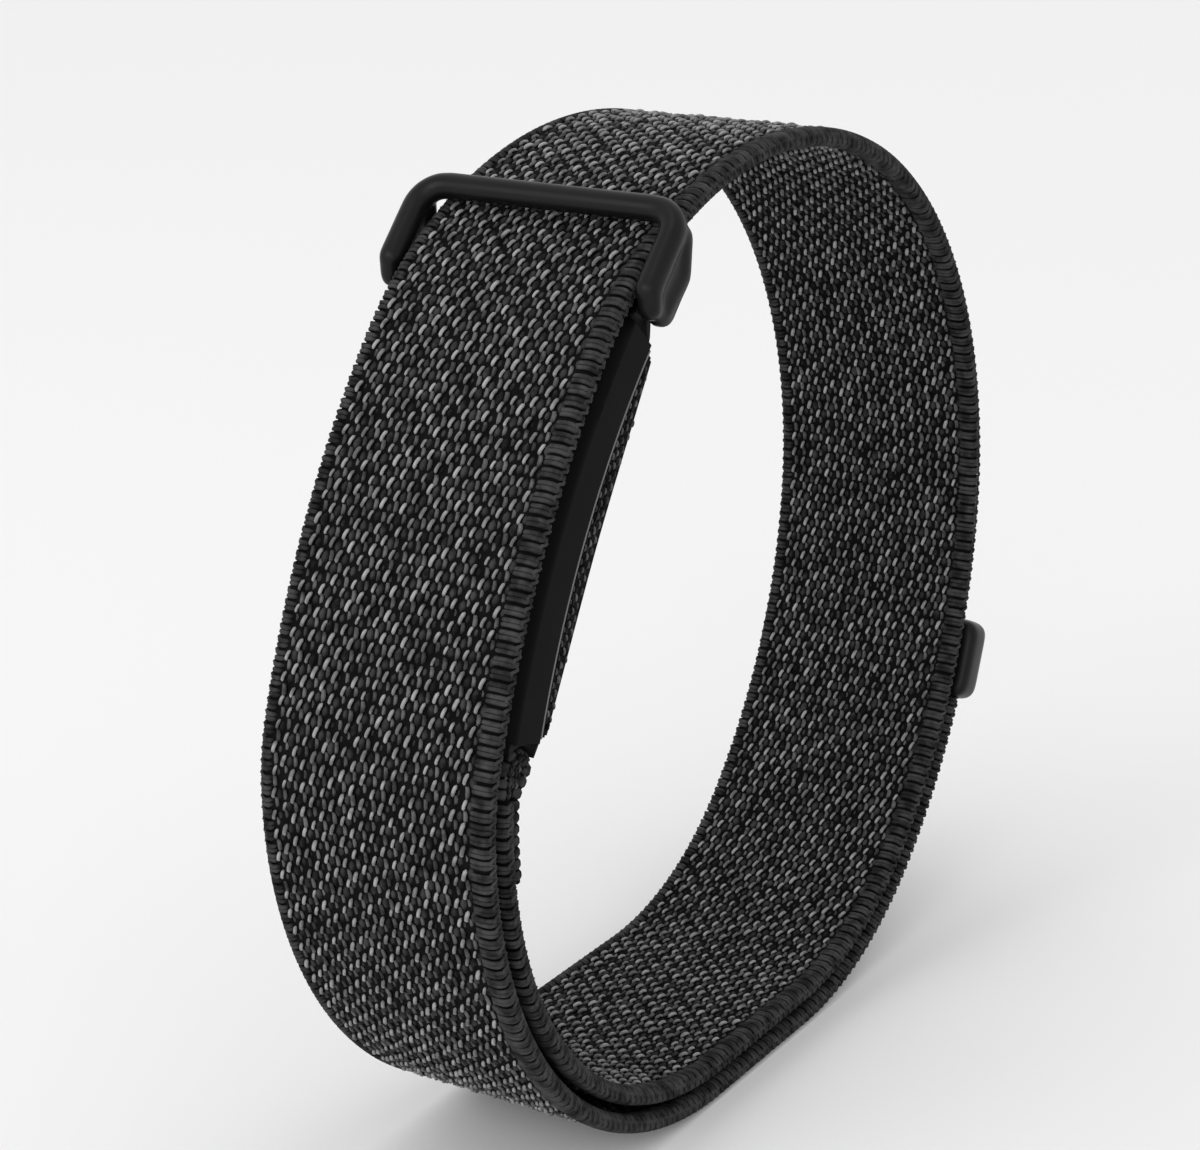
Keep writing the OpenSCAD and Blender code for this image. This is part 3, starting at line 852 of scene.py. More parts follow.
@dataclass
class Webbing:
    """The woven band: one run of knit from the pod's loop to the tail's tip."""

    shape: RingShape
    weave: Weave = field(default_factory=Weave)
    core_step: float = 0.8
    seed: int = 7

    def __post_init__(self) -> None:
        """Works out the run and the yarns' materials."""
        self.run = Run.along(self.shape.bends())
        self.yarns = [
            YarnFinish("ground_yarn", (0.030, 0.030, 0.0306), 0.8, 0.85, 0.0).material(),
            YarnFinish("light_yarn", (0.22, 0.22, 0.224), 0.6, 0.5, 0.02).material(),
            YarnFinish("dark_yarn", (0.082, 0.082, 0.083), 0.7, 0.6, 0.02).material(),
            YarnFinish("selvedge_yarn", (0.034, 0.034, 0.0345), 0.7, 0.7, 0.0).material(),
            YarnFinish("edge_thread", (0.040, 0.040, 0.0405), 0.5, 0.7, 0.0).material(),
            # the core's near-black is painted shade, standing in for the shadow deep in the gaps between
            # the stitches
            YarnFinish("core_yarn_painted_shade", (0.004, 0.004, 0.0042), 0.4, 0.9, 0.0).material(),
        ]

    def stretches(self) -> List[Stretch]:
        """The pieces that the band is made in.

        Returns:
            The stretches in order, from the loop to the tail.
        """
        return [
            Stretch("band_under_pod", 172.4, 250, False, True, ("inner_wrap",)),
            Stretch("band_floor", 250, 300, False, True, ()),
            Stretch("band_right", 300, 318, False, True, ()),
            Stretch("band_fastening", 318, 355, True, True, ()),
            Stretch("band_shoulder", 355, 400, True, True, ("crown_wrap",)),
            Stretch("band_crown", 400, 446, True, True, ()),
            Stretch("band_to_clasp", 446, 481, True, True, ()),
            Stretch("band_over_pod", 481, 545, True, False, ("outer_wrap",)),
            Stretch("band_outer_left", 545, 610, True, False, ()),
            Stretch("band_outer_floor", 610, 676.2, True, False, ()),
        ]

    def build(self) -> None:
        """Makes every stretch of the band."""
        for stretch in self.stretches():
            piece = self.piece(stretch)
            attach(piece, Body.STRAP.value)
            if stretch.nodes:
                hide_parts(*stretch.nodes)

    def piece(self, stretch: Stretch) -> bpy.types.Object:
        """One stretch with its core, knit and selvedges.

        Args:
            stretch: The length of band.

        Returns:
            The object.
        """
        maker = MeshMaker()
        start, end = self.run.at(stretch.start), self.run.at(stretch.end)
        knit_end = self.run.at(stretch.knit_end) if stretch.knit_end else end
        self.core(maker, start, end)
        cells = self.weave.cells(start, knit_end)
        for full, face in ((stretch.outer_knit, 1), (stretch.inner_knit, -1)):
            self.weave.lay(maker, self.run, cells, full, face, self.seed + int(start * 10))
        for side in (-1, 1):
            self.selvedge(maker, start, knit_end, side)
        return maker.finish(stretch.name, self.yarns)

    def core(self, maker: MeshMaker, start: float, end: float) -> None:
        """The dark middle of the band, a closed strip with its corners cut off; its near-black colour is
        painted shade for the gaps between the stitches.

        Args:
            maker: Where the faces go.
            start: Where the stretch begins.
            end: Where it ends.
        """
        weave = self.weave
        half_w, half_t = weave.core_half_w, weave.core_half_t
        outline = strip_outline(-half_w, half_w, weave.core_cut, half_t - weave.core_cut / 2, half_t)
        rings = max(2, int((end - start) / self.core_step) + 1)
        maker.strip(self.run, np.linspace(start, end, rings), outline, Yarn.SHADED_CORE.value)

    def selvedge(self, maker: MeshMaker, start: float, end: float, side: int) -> None:
        """The ribs that wrap one edge of a stretch, and the thread that runs along it.

        Args:
            maker: Where the faces go.
            start: Where the stretch begins.
            end: Where it ends.
            side: 1 for the +Y edge and -1 for the other.
        """
        weave = self.weave
        edge = self.shape.band_w / 2
        inside = weave.knit_half_w + (0.5 if side == 1 else 0.0)
        over = [(inside, 0.38), (inside + 0.2, 0.55), *weave.rib_over]
        rib = rib_strand(over, side, *weave.rib_half, 13, 0.7, weave.rib_lean)
        numbers = np.arange(math.ceil(start / weave.rib - 0.5), math.ceil(end / weave.rib - 0.5))
        count = len(numbers)
        random = np.random.default_rng(self.seed + side + int(start))
        middles = (numbers + 0.5) * weave.rib + random.normal(0.0, 0.025, count)
        for beside in (-weave.rib_gap, weave.rib_gap):
            places = np.zeros((count, 3))
            places[:, 1] = middles + beside + random.normal(0.0, 0.012, count)
            points, faces = rib.repeat(places)
            maker.add(self.run.place(points), faces, Yarn.SELVEDGE.value)
        line = np.linspace(start, end, max(3, int((end - start) / weave.rib * 6)))
        phase = line / weave.rib * 2 * math.pi
        out, up = weave.thread_wave
        across = side * (edge - weave.thread_r + out * np.cos(phase))
        centre = np.stack([across, line, up * np.sin(phase)], axis=1)
        thread = yarn_rings(centre, weave.thread_r, weave.thread_r, 6)
        maker.add(self.run.place(thread), tube_faces(len(centre), 6), Yarn.THREAD.value)


@dataclass
class Tail:
    """The free end of the band, and the two angles of its crease, which only mark points on its middle."""

    webbing: Webbing
    crease: Point = (676.6, 679.6)
    start: float = 676.2
    knit_end: float = 694.0

    def build(self) -> None:
        """Makes the tail's fabric, which replaces its two solids."""
        end = self.webbing.shape.tip_end - 0.1
        piece = self.webbing.piece(Stretch("tail_end", self.start, end, True, False, (), self.knit_end))
        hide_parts("tail_webbing", "tail_tip")
        self.middle(self.crease[0])
        self.middle(self.crease[1])
        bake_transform(piece)

    def middle(self, angle: float) -> Place:
        """The band's middle at a normal angle.

        Args:
            angle: The angle, in degrees.

        Returns:
            X, Y and Z in metres.
        """
        run = self.webbing.run
        x, y, z = run.place(np.array([[0.0, run.at(angle), 0.0]]))[0]
        return float(x), float(y), float(z)


def read_points(mesh: bpy.types.Mesh) -> Batch:
    """A mesh's points and their normals.

    Args:
        mesh: The mesh.

    Returns:
        The points and the normals, as rows.
    """
    points = np.empty(len(mesh.vertices) * 3, np.float32)
    normals = np.empty(len(mesh.vertices) * 3, np.float32)
    mesh.vertices.foreach_get("co", points)
    mesh.vertices.foreach_get("normal", normals)
    return points.reshape(-1, 3), normals.reshape(-1, 3)


def write_points(mesh: bpy.types.Mesh, points: np.ndarray) -> None:
    """Moves a mesh's points."""
    mesh.vertices.foreach_set("co", points.astype(np.float32).ravel())
    mesh.update()


def capsule(start: np.ndarray, end: np.ndarray, radius: float) -> Batch:
    """A straight rod with round ends.

    Args:
        start: The middle of one end, in millimetres.
        end: The middle of the other.
        radius: Its radius.

    Returns:
        The points in metres, and the faces.
    """
    way = (end - start) / np.linalg.norm(end - start)
    side = np.cross(way, np.array([0.0, 1.0, 0.0]))
    rise = np.cross(side, way)
    falls = np.radians([80, 55, 30, 0])
    rows = [(start - way * radius * math.sin(f), radius * math.cos(f)) for f in falls]
    rows += [(end + way * radius * math.sin(f), radius * math.cos(f)) for f in reversed(falls)]
    around = circle(16) @ np.stack([side, rise])
    points = np.concatenate([middle + width * around for middle, width in rows])
    return points * MM, tube_faces(len(rows), 16)


def copy_softened(name: str, node: str, voxel: float, rounds: int, regain: float,
                  material: bpy.types.Material, more: Sequence[Batch] = ()) -> bpy.types.Object:
    """A copy of a CAD node with its corners and joints blended, as in a casting.

    Args:
        name: The new piece's name.
        node: The CAD node, which the piece then stands for.
        voxel: Size of the new mesh's cells, in millimetres.
        rounds: How often it is smoothed.
        regain: How far the surface moves out again after that, in millimetres.
        material: Its material.
        more: Forms that are blended into it, as points and faces.

    Returns:
        The piece.
    """
    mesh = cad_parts[node].data.copy()
    work = bmesh.new()
    work.from_mesh(mesh)
    bmesh.ops.remove_doubles(work, verts=work.verts, dist=1e-7)
    for points, faces in more:
        corners = [work.verts.new(point) for point in points]
        for face in faces:
            work.faces.new([corners[k] for k in face])
    work.to_mesh(mesh)
    work.free()
    mesh.materials.clear()
    rough = add_object(name + "_rough", mesh)
    remesh = rough.modifiers.new("even_cells", "REMESH")
    remesh.mode = "VOXEL"
    remesh.voxel_size = voxel * MM
    smooth = rough.modifiers.new("blend", "SMOOTH")
    smooth.factor = 0.5
    smooth.iterations = rounds
    graph = bpy.context.evaluated_depsgraph_get()
    made = bpy.data.meshes.new_from_object(rough.evaluated_get(graph))
    bpy.data.objects.remove(rough)
    points, normals = read_points(made)
    write_points(made, points + normals * regain * MM)
    made.name = name
    shade_smooth(made)
    paint(made, material)
    piece = add_object(name, made)
    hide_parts(node)
    LOG.info("%s: %d faces, from %s", name, len(made.polygons), node)
    return piece


@dataclass
class Metalwork:
    """The clasp's frame and the tail's bar, cast and coated black."""

    coating: CoatedFinish = CoatedFinish(
        "satin_black_coating", (0.0045, 0.0045, 0.0048), 0.34, specular=0.17)
    shape: RingShape = RingShape()
    voxel: float = 0.12
    rail_half_w: float = 10.0
    rail_r: float = 0.76
    arm_r: float = 0.6
    rail_turn: float = 127.0
    rail_out: float = 0.25
    rail_foot: Point = (-1.55, 0.2)

    def build(self) -> None:
        """Makes the two castings with their blended corners."""
        coat = self.coating.material()
        clasp = copy_softened("clasp_casting", "clasp_frame", self.voxel, 60, 0.07, coat, self.rail_ends())
        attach(clasp, Body.CLASP.value)
        bar = copy_softened("end_bar_casting", "end_bar", self.voxel, 120, 0.24, coat)
        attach(bar, Body.TAIL.value)

    def rail_ends(self) -> List[Batch]:
        """The rounded lower ends of the clasp's front rails, drawn down to the level of the pin.

        Returns:
            The points and faces of each form.
        """
        rail_r = self.shape.clasp_bend_r + self.rail_out
        rail = self.shape.centres()["clasp"] + rail_r * unit(self.rail_turn)
        pin = self.shape.pin()
        foot = pin + np.array(self.rail_foot)
        found = []
        for width in (-self.rail_half_w, self.rail_half_w):
            top, end, bore = (np.array([at[0], width, at[1]]) for at in (rail, foot, pin))
            found += [capsule(top, end, self.rail_r), capsule(end, bore, self.arm_r)]
        return found


@dataclass
class Pod:
    """The sensor pod: its CAD parts get a finish, and small forms are added to its shells."""

    shell: CoatedFinish = CoatedFinish(
        "pod_shell_plastic", (0.002, 0.002, 0.0022), 0.5, grain=0.00007, specular=0.04)
    gasket: CoatedFinish = CoatedFinish("grey_gasket", (0.12, 0.12, 0.122), 0.6, edge_highlight=1.1)
    window: CoatedFinish = CoatedFinish(
        "smoked_window", (0.008, 0.008, 0.010), 0.08, grain_depth=0.0, edge_highlight=1.2)
    steel: CoatedFinish = CoatedFinish("blackened_steel", (0.10, 0.10, 0.105), 0.35, metallic=1.0)
    plain: CoatedFinish = CoatedFinish("bar_metal", (0.22, 0.22, 0.225), 0.32, metallic=1.0)
    gold: CoatedFinish = CoatedFinish("gold_plating", (0.55, 0.38, 0.14), 0.25, metallic=1.0)
    laminate: CoatedFinish = CoatedFinish("board_laminate", (0.02, 0.09, 0.045), 0.4)
    foil: CoatedFinish = CoatedFinish("cell_foil", (0.45, 0.45, 0.46), 0.3, metallic=0.9)
    lens: CoatedFinish = CoatedFinish("led_lens", (0.25, 0.5, 0.25), 0.15, grain_depth=0.0)
    shape: RingShape = RingShape()
    knuckle_half_w: float = 5.5
    bore_r: float = 0.57
    side_h: float = 3.6
    side_in: float = 0.06
    end_gap: float = 0.03
    toe_r: float = 1.85
    toe_w: float = 4.0

    def finishes(self) -> Dict[str, CoatedFinish]:
        """The finish of each CAD node that stays in view or inside.

        Returns:
            The finishes by the nodes' names.
        """
        return {
            "pod_cover": self.shell, "pod_back": self.shell, "sensor_carrier": self.shell,
            "pod_gasket": self.gasket, "optical_window": self.window, "photodiodes": self.window,
            "sensor_leds": self.lens, "circuit_board": self.laminate, "battery": self.foil,
            "vibration_motor": self.foil, "charge_contacts": self.gold, "case_screws": self.steel,
            "clasp_pin": self.steel, "end_rivets": self.steel, "strap_bar": self.plain,
        }

    def build(self) -> None:
        """Gives each CAD node its material and adds the forms that the shells need outside."""
        made: Dict[str, bpy.types.Material] = {}
        for node, finish in self.finishes().items():
            if finish.name not in made:
                made[finish.name] = finish.material()
            paint(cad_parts[node].data, made[finish.name])
            LOG.info("%s: %s", node, finish.name)
        self.nose(made[self.shell.name])
        self.toe(made[self.shell.name])
        self.lip(made[self.gasket.name])

    def lip(self, material: bpy.types.Material) -> None:
        """The gasket's outer lip, which shows as a thin pale line between cover and back.

        Args:
            material: The gasket's rubber.
        """
        half_w = self.shape.pod_half_w
        near, far, low, high = half_w - 0.24, half_w - 0.01, -0.21, -0.04
        outline = ((near, low), (far, low), (far, high), (near, high))
        run = self.shape.pod_line(0.0, 0.3, 0.3)
        maker = MeshMaker()
        for side in (-1, 1):
            maker.strip(run, np.linspace(0.0, run.length, 60), outline, 0, side)
        piece = maker.finish("gasket_lip", [material])
        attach(piece, Body.STRAP.value)

    def nose(self, material: bpy.types.Material) -> None:
        """The cover's upper end, drawn out to the hinge pin on both sides of its knuckle.

        Args:
            material: The shell's plastic.
        """
        shape = self.shape
        pin, end = shape.pin(), unit(shape.pod_from + self.end_gap)
        corners = [shape.centres()["pod"] + (shape.parting_r + up) * end for up in (0.1, self.side_h)]
        ways = circle(72)
        span = np.array([self.reach(pin, corners, way) for way in ways]) - self.bore_r
        low, high = self.knuckle_half_w + 0.03, shape.pod_half_w - self.side_in
        bevel = 0.1
        shares, widths = (0.0, 1.0, 1.0, 0.96, 0.0), (low, low, high - bevel, high, high)
        lines = [pin + (self.bore_r + share * span)[:, None] * ways for share in shares]
        maker = MeshMaker()
        for side in (-1, 1):
            maker.loft(lines, widths, side, True)
        piece = maker.finish("cover_nose", [material])
        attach(piece, Body.STRAP.value)

    def toe(self, material: bpy.types.Material) -> None:
        """The cover's lower end, drawn down on both sides to the fold round the pod's bar.

        Args:
            material: The shell's plastic.
        """
        shape = self.shape
        bar, end = shape.bar(), unit(shape.pod_to - self.end_gap)
        inner, outer = (shape.centres()["pod"] + (shape.parting_r + up) * end for up in (0.0, self.side_h))
        steps = np.linspace(0.0, 1.0, 14)
        face = inner + steps[:, None] * (outer - inner)
        arc = np.array([bar + self.toe_r * unit(turn) for turn in 16.0 + 114.0 * steps])
        low, high = shape.pod_half_w - self.toe_w, shape.pod_half_w - self.side_in
        maker = MeshMaker()
        for side in (-1, 1):
            maker.loft([face, face, arc, arc], [low, high, high, low], side, False)
        piece = maker.finish("cover_toe", [material])
        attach(piece, Body.STRAP.value)

    def reach(self, pin: np.ndarray, corners: Sequence[np.ndarray], way: np.ndarray) -> float:
        """How far the nose's outline is from the pin in one direction.

        Args:
            pin: The pin's middle.
            corners: The two corners where the outline meets the cover.
            way: The direction.

        Returns:
            The distance.
        """
        found = self.shape.knuckle_r
        ring = pin + found * circle(120)
        for a in [*ring, *corners]:
            for b in corners:
                if a is b:
                    continue
                sides = np.column_stack([way, a - b])
                if abs(np.linalg.det(sides)) < 1e-9:
                    continue
                along, share = np.linalg.solve(sides, a - pin)
                if along > found and -1e-9 <= share <= 1 + 1e-9:
                    found = float(along)
        return found


def run_clear(points: np.ndarray, middle: np.ndarray, radius: float) -> int:
    """The first point after which a path stays outside a circle."""
    inside = np.linalg.norm(points - middle, axis=1) < radius
    return int(np.nonzero(inside)[0][-1]) + 1


@dataclass
class PodLoop:
    """The band's lower end, folded round the pod's bar and sewn down on its inner face."""

    webbing: Webbing
    fold_t: float = 0.8
    fold_l: float = 4.2
    half_w: float = 8.7
    notch: Tuple[float, float] = (2.75, 4.45)
    notch_r: float = 1.9
    side_in: float = 0.24
    wall_r: float = 1.35
    knit_pitch: float = 0.42
    rib_over: Tuple[Point, ...] = ((-1.5, 0.7), (-1.1, 0.95), (-0.5, 1.0), (-0.2, 0.75), (-0.06, 0.3))
    rib_half: Point = (0.33, 0.11)
    stitch_rows: int = 2
    stitch_count: int = 8
    first_row: float = 1.9
    row_gap: float = 1.75
    clear: int = 0

    def path(self) -> Batch:
        """The fold's middle line and its half thickness.

        Returns:
            Points from the band's end, round the bar and down its inner face, and the half
            thickness at each.
        """
        shape = self.webbing.shape
        c = shape.centres()
        band_r = shape.left_r - shape.layer_d
        bar, turn = shape.bar(), shape.bar_turn
        up = [c["left"] + band_r * unit(a) for a in np.linspace(shape.loop_start, turn + 2.5, 8)]
        wrap_r = shape.bar_r + shape.wrap_t / 2
        over = [bar + wrap_r * unit(a) for a in np.linspace(turn - 8, turn - 172, 24)]
        inset = shape.half_t + 0.03 + self.fold_t / 2
        down = [c["left"] + (band_r - inset) * unit(a) for a in np.linspace(172.0, 179.6, 8)]
        fold_turn = math.degrees(self.fold_l / shape.lower_left_r)
        low = [c["lower_left"] + (shape.lower_left_r - inset) * unit(a)
               for a in np.linspace(180.4, 180 + fold_turn, 12)]
        points = np.array(up + over + down + low)
        half = [shape.half_t] * 3 + [0.6] * 5 + [shape.wrap_t / 2] * 24 + [self.fold_t / 2] * 20
        self.clear = run_clear(points, bar, self.notch_r)
        return points, np.array(half)

    def build(self) -> None:
        """Makes the folded fabric and the stitches across it."""
        points, half = self.path()
        run = Run.through(points)
        weave = self.webbing.weave
        maker = MeshMaker()
        edge, last = self.half_w - 0.15, len(points) - 1
        near, far = self.notch
        for low, high in ((-edge, -far), (-near, near), (far, edge)):
            self.core(maker, run, half, (low, high), (0, self.clear + 1))
        self.core(maker, run, half, (-edge, edge), (self.clear, last))
        cells = weave.cells(0.4, run.length - 0.9)
        cells = cells[np.abs(cells[:, 0]) < self.half_w - 1.3]
        beside = np.abs(np.abs(cells[:, 0]) - (near + far) / 2) < (far - near) / 2 + 0.4
        cells = cells[~(beside & (cells[:, 1] < run.lengths[self.clear] + 0.5))]
        cells[:, 2] = np.interp(cells[:, 1], run.lengths, half) - self.webbing.shape.half_t
        weave.lay(maker, run, cells, True, 1, 31)
        for side in (-1, 1):
            self.edge(maker, run, half, side)
            self.rolled_edge(maker, side)
        piece = maker.finish("loop_fabric", self.webbing.yarns)
        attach(piece, Body.STRAP.value)
        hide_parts("pod_loop")
        self.sew(run)

    def core(self, maker: MeshMaker, run: Run, half: np.ndarray, sides: Tuple[float, float],
             rings: Tuple[int, int]) -> None:
        """One strip of the fold's dark middle, whose near-black colour is painted shade.

        Args:
            maker: Where the faces go.
            run: The fold's middle line.
            half: The half thickness at each of its points.
            sides: Where the strip begins and ends across the band.
            rings: The first and last of the line's points that it covers.
        """
        first, last = rings
        outline = strip_outline(*sides, 0.2, 0.6, 1.0)
        along, scale = run.lengths[first:last + 1], half[first:last + 1] * 0.62
        maker.strip(run, along, outline, Yarn.SHADED_CORE.value, scale=scale)

    def edge(self, maker: MeshMaker, run: Run, half: np.ndarray, side: int) -> None:
        """The ribs that wrap one edge of the fold.

        Args:
            maker: Where the faces go.
            run: The fold's middle line.
            half: The half thickness at each of its points.
            side: 1 for the +Y edge and -1 for the other.
        """
        for along in np.arange(0.5, run.length, self.webbing.weave.rib):
            height = float(np.interp(along, run.lengths, half)) * 0.88
            over = [(self.half_w + across, share * height) for across, share in self.rib_over]
            rib = rib_strand(over, side, *self.rib_half, 10, 0.6)
            points, faces = rib.repeat(np.array([[0.0, along, 0.0]]))
            maker.add(run.place(points), faces, Yarn.SELVEDGE.value)

    def rolled_edge(self, maker: MeshMaker, side: int) -> None:
        """The fold's side over the bar's end: a near-black wall in the core's painted shade, with short
        knit stitches on it.

        Args:
            maker: Where the faces go.
            side: 1 for the +Y side and -1 for the other.
        """
        bar = self.webbing.shape.bar()
        round_end = bar + self.wall_r * circle(16)
        widths = (self.half_w - 0.7, self.half_w - 0.3)
        wall = np.concatenate([np.insert(round_end, 1, side * width, axis=1) for width in widths])
        # the wall takes the core's near-black, which is painted shade
        maker.add(wall * MM, tube_faces(2, 16)[:, ::-side], Yarn.SHADED_CORE.value)
        stitch = Strand(((0.05, 0.2, -0.05), (0.0, 0.0, 0.06), (-0.08, -0.2, -0.05)), 0.1, 0.09, 6, 4, 0.6)
        pitch = self.knit_pitch
        steps = np.arange(-3, 4) * pitch
        grid = np.array([(a, b, 0.0) for a in steps for b in steps if math.hypot(a, b) < 1.3])
        grid[:, 1] += np.where(np.round(grid[:, 0] / pitch) % 2 == 0, 0.0, pitch / 2)
        grid += np.random.default_rng(19 + side).normal(0.0, 0.04, grid.shape)
        light = np.arange(len(grid)) % 4 == 0
        for yarn, places in ((Yarn.DARK, grid[light]), (Yarn.SELVEDGE, grid[~light])):
            points, faces = stitch.repeat(places)
            across = side * (self.half_w - self.side_in + points[:, 2])
            placed = np.stack([bar[0] + points[:, 0], across, bar[1] + points[:, 1]], axis=1)
            maker.add(placed * MM, faces[:, ::side], yarn.value)

    def sew(self, run: Run) -> None:
        """The rows of thread across the fold.

        Args:
            run: The fold's middle line.
        """
        maker = MeshMaker()
        stitch = Strand(((-0.62, 0.0, -0.12), (-0.35, 0.0, 0.06), (0.35, 0.0, 0.06), (0.62, 0.0, -0.12)),
                        0.12, 0.11, 6, 6, 0.8)
        pitch = 2 * self.half_w / (self.stitch_count + 0.5)
        rows = run.length - self.first_row - self.row_gap * np.arange(self.stitch_rows)
        middle = (self.stitch_count - 1) / 2
        places = np.array([((i - middle) * pitch, along, self.fold_t / 2 + 0.1)
                           for along in rows for i in range(self.stitch_count)])
        points, faces = stitch.repeat(places)
        maker.add(run.place(points), faces)
        thread = YarnFinish("sewing_thread", (0.06, 0.06, 0.062), 0.3, 0.5).material()
        piece = maker.finish("loop_thread", [thread])
        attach(piece, Body.STRAP.value)
        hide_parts("loop_stitching")


@dataclass
class ComfortPad:
    """The knitted pad on the pod's back plate, crowned and drawn in, with its window's opening."""

    webbing: Webbing
    pad_w: float = 16.6
    window_turn: float = 151.0
    window_l: float = 9.3
    window_w: float = 7.7
    enlarge: float = 25.0
    most_swell: float = 0.28
    held_depth: float = 0.28
    painted_highlight_rim: float = 0.45
    play: float = 0.03
    fine: float = 0.6
    yarns: List[bpy.types.Material] = field(default_factory=list)

    def build(self) -> None:
        """Makes the pad's form and the knit on its skin side."""
        shape = self.webbing.shape
        depth = shape.gasket_t + shape.back_t + self.play
        base_r = shape.parting_r - depth
        finish = YarnFinish("pad_knit", (0.012, 0.012, 0.0124), 0.5, 0.85, fibre=0.0002)
        pad = copy_softened("pad_form", "comfort_pad", 0.3, 3, 0.0, finish.material())
        self.swell(pad, shape.centres()["pod"], base_r)
        pad.data = self.subdivided(pad)
        self.dimple(pad)
        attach(pad, Body.STRAP.value)
        self.yarns = [
            YarnFinish("pad_ground", (0.009, 0.009, 0.0093), 0.6, 0.85, 0.0).material(),
            YarnFinish("pad_light", (0.08, 0.08, 0.0816), 0.85, 0.6, 0.0).material(),
            YarnFinish("pad_dark", (0.018, 0.018, 0.0184), 0.75, 0.7, 0.0).material(),
            *self.webbing.yarns[3:],
        ]
        self.skin(shape.pod_line(depth, 1.3, 0.7), BVHTree.FromPolygons(
            [v.co for v in pad.data.vertices], [p.vertices for p in pad.data.polygons]))

    def held(self, points: np.ndarray, centre: np.ndarray, base_r: float) -> np.ndarray:
        """The points that the back plate and the window's rim hold still.

        Args:
            points: The pad's points, in metres.
            centre: The centre of the pod's bend.
            base_r: The radius of the pad's base.

        Returns:
            True for each point that is held.
        """
        offset = points[:, [0, 2]] / MM - centre
        radius = np.linalg.norm(offset, axis=1)
        turn = np.degrees(np.arctan2(offset[:, 1], offset[:, 0]))
        along = np.radians(turn - self.window_turn) * base_r
        near_window = (np.abs(along) < self.window_l / 2 + self.painted_highlight_rim) & (
            np.abs(points[:, 1]) / MM < self.window_w / 2 + self.painted_highlight_rim)
        return (base_r - radius < self.held_depth) | near_window

    def swell(self, pad: bpy.types.Object, centre: np.ndarray, base_r: float) -> None:
        """Fills the pad by a cloth simulation with pressure inside it, at an enlarged size.

        Args:
            pad: The pad.
            centre: The centre of the pod's bend.
            base_r: The radius of the pad's base.
        """
        mesh = pad.data
        points, _ = read_points(mesh)
        held = self.held(points, centre, base_r)
        middle = points.mean(axis=0)
        write_points(mesh, (points - middle) * self.enlarge)
        group = pad.vertex_groups.new(name="held")
        group.add([int(k) for k in np.nonzero(held)[0]], 1.0, "REPLACE")
        cloth = pad.modifiers.new("filling", "CLOTH")
        cloth.settings.use_pressure = True
        cloth.settings.uniform_pressure_force = 4.0
        cloth.settings.effector_weights.gravity = 0.0
        cloth.settings.vertex_group_mass = group.name
        cloth.settings.quality = 6
        scene = bpy.context.scene
        for number in range(1, 21):
            scene.frame_set(number)
        graph = bpy.context.evaluated_depsgraph_get()
        swollen, _ = read_points(pad.evaluated_get(graph).data)
        pad.modifiers.remove(cloth)
        pad.vertex_groups.remove(group)
        scene.frame_set(1)
        move = swollen / self.enlarge + middle - points
        far = np.linalg.norm(move, axis=1)
        limit = np.minimum(1.0, self.most_swell * MM / np.maximum(far, 1e-9))
        LOG.info("pad_form: swelled by up to %.2f mm before the cap", float(far.max()) / MM)
        write_points(mesh, points + move * limit[:, None])

    def subdivided(self, pad: bpy.types.Object) -> bpy.types.Mesh:
        """The pad's mesh after one subdivision.

        Args:
            pad: The pad.

        Returns:
            The finer mesh, under the pad's name.
        """
        smooth = pad.modifiers.new("subdivision", "SUBSURF")
        smooth.levels = 1
        graph = bpy.context.evaluated_depsgraph_get()
        made = bpy.data.meshes.new_from_object(pad.evaluated_get(graph))
        pad.modifiers.remove(smooth)
        made.name = pad.name
        shade_smooth(made)
        return made

    def dimple(self, pad: bpy.types.Object) -> None:
        """Presses the knit's columns and rows into the pad's surface.

        Args:
            pad: The pad.
        """
        points, normals = read_points(pad.data)
        weave = self.webbing.weave
        across = points[:, 1] / MM
        along = np.linalg.norm(points[:, [0, 2]] / MM, axis=1)
        wave = np.cos(across * 2 * math.pi / weave.column) * np.cos(along * 2 * math.pi / weave.row)
        write_points(pad.data, points + normals * (0.03 * MM * wave[:, None]))

    def skin(self, run: Run, surface: BVHTree) -> None:
        """The knit on the side that meets the wrist.

        Args:
            run: The line along the pad's base.
            surface: The pad's surface, which each stitch sits on.
        """
        weave = self.webbing.weave
        cells = weave.cells(0.7, run.length - 0.7)
        window = run.at(self.window_turn)
        inside = (np.abs(cells[:, 1] - window) < self.window_l / 2 + 0.7) & (
            np.abs(cells[:, 0]) < self.window_w / 2 + 0.5)
        cells = cells[~inside & (np.abs(cells[:, 0]) < self.pad_w / 2 - 0.45)]
        reach, sink = 5.0, 0.5
        starts = run.place(cells - np.array([0.0, 0.0, reach]))
        kept = []
        for cell, start, end in zip(cells, starts, run.place(cells)):
            hit = surface.ray_cast(Vector(start), Vector(end - start).normalized())[0]
            if hit is not None:
                lift = reach - (hit - Vector(start)).length / MM
                kept.append((cell[0], cell[1], sink - lift))
        maker = MeshMaker()
        weave.lay(maker, run, np.array(kept), True, -1, 57)
        for side in (-1, 1):
            self.border(maker, side)
        piece = maker.finish("pad_stitches", self.yarns)
        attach(piece, Body.STRAP.value)

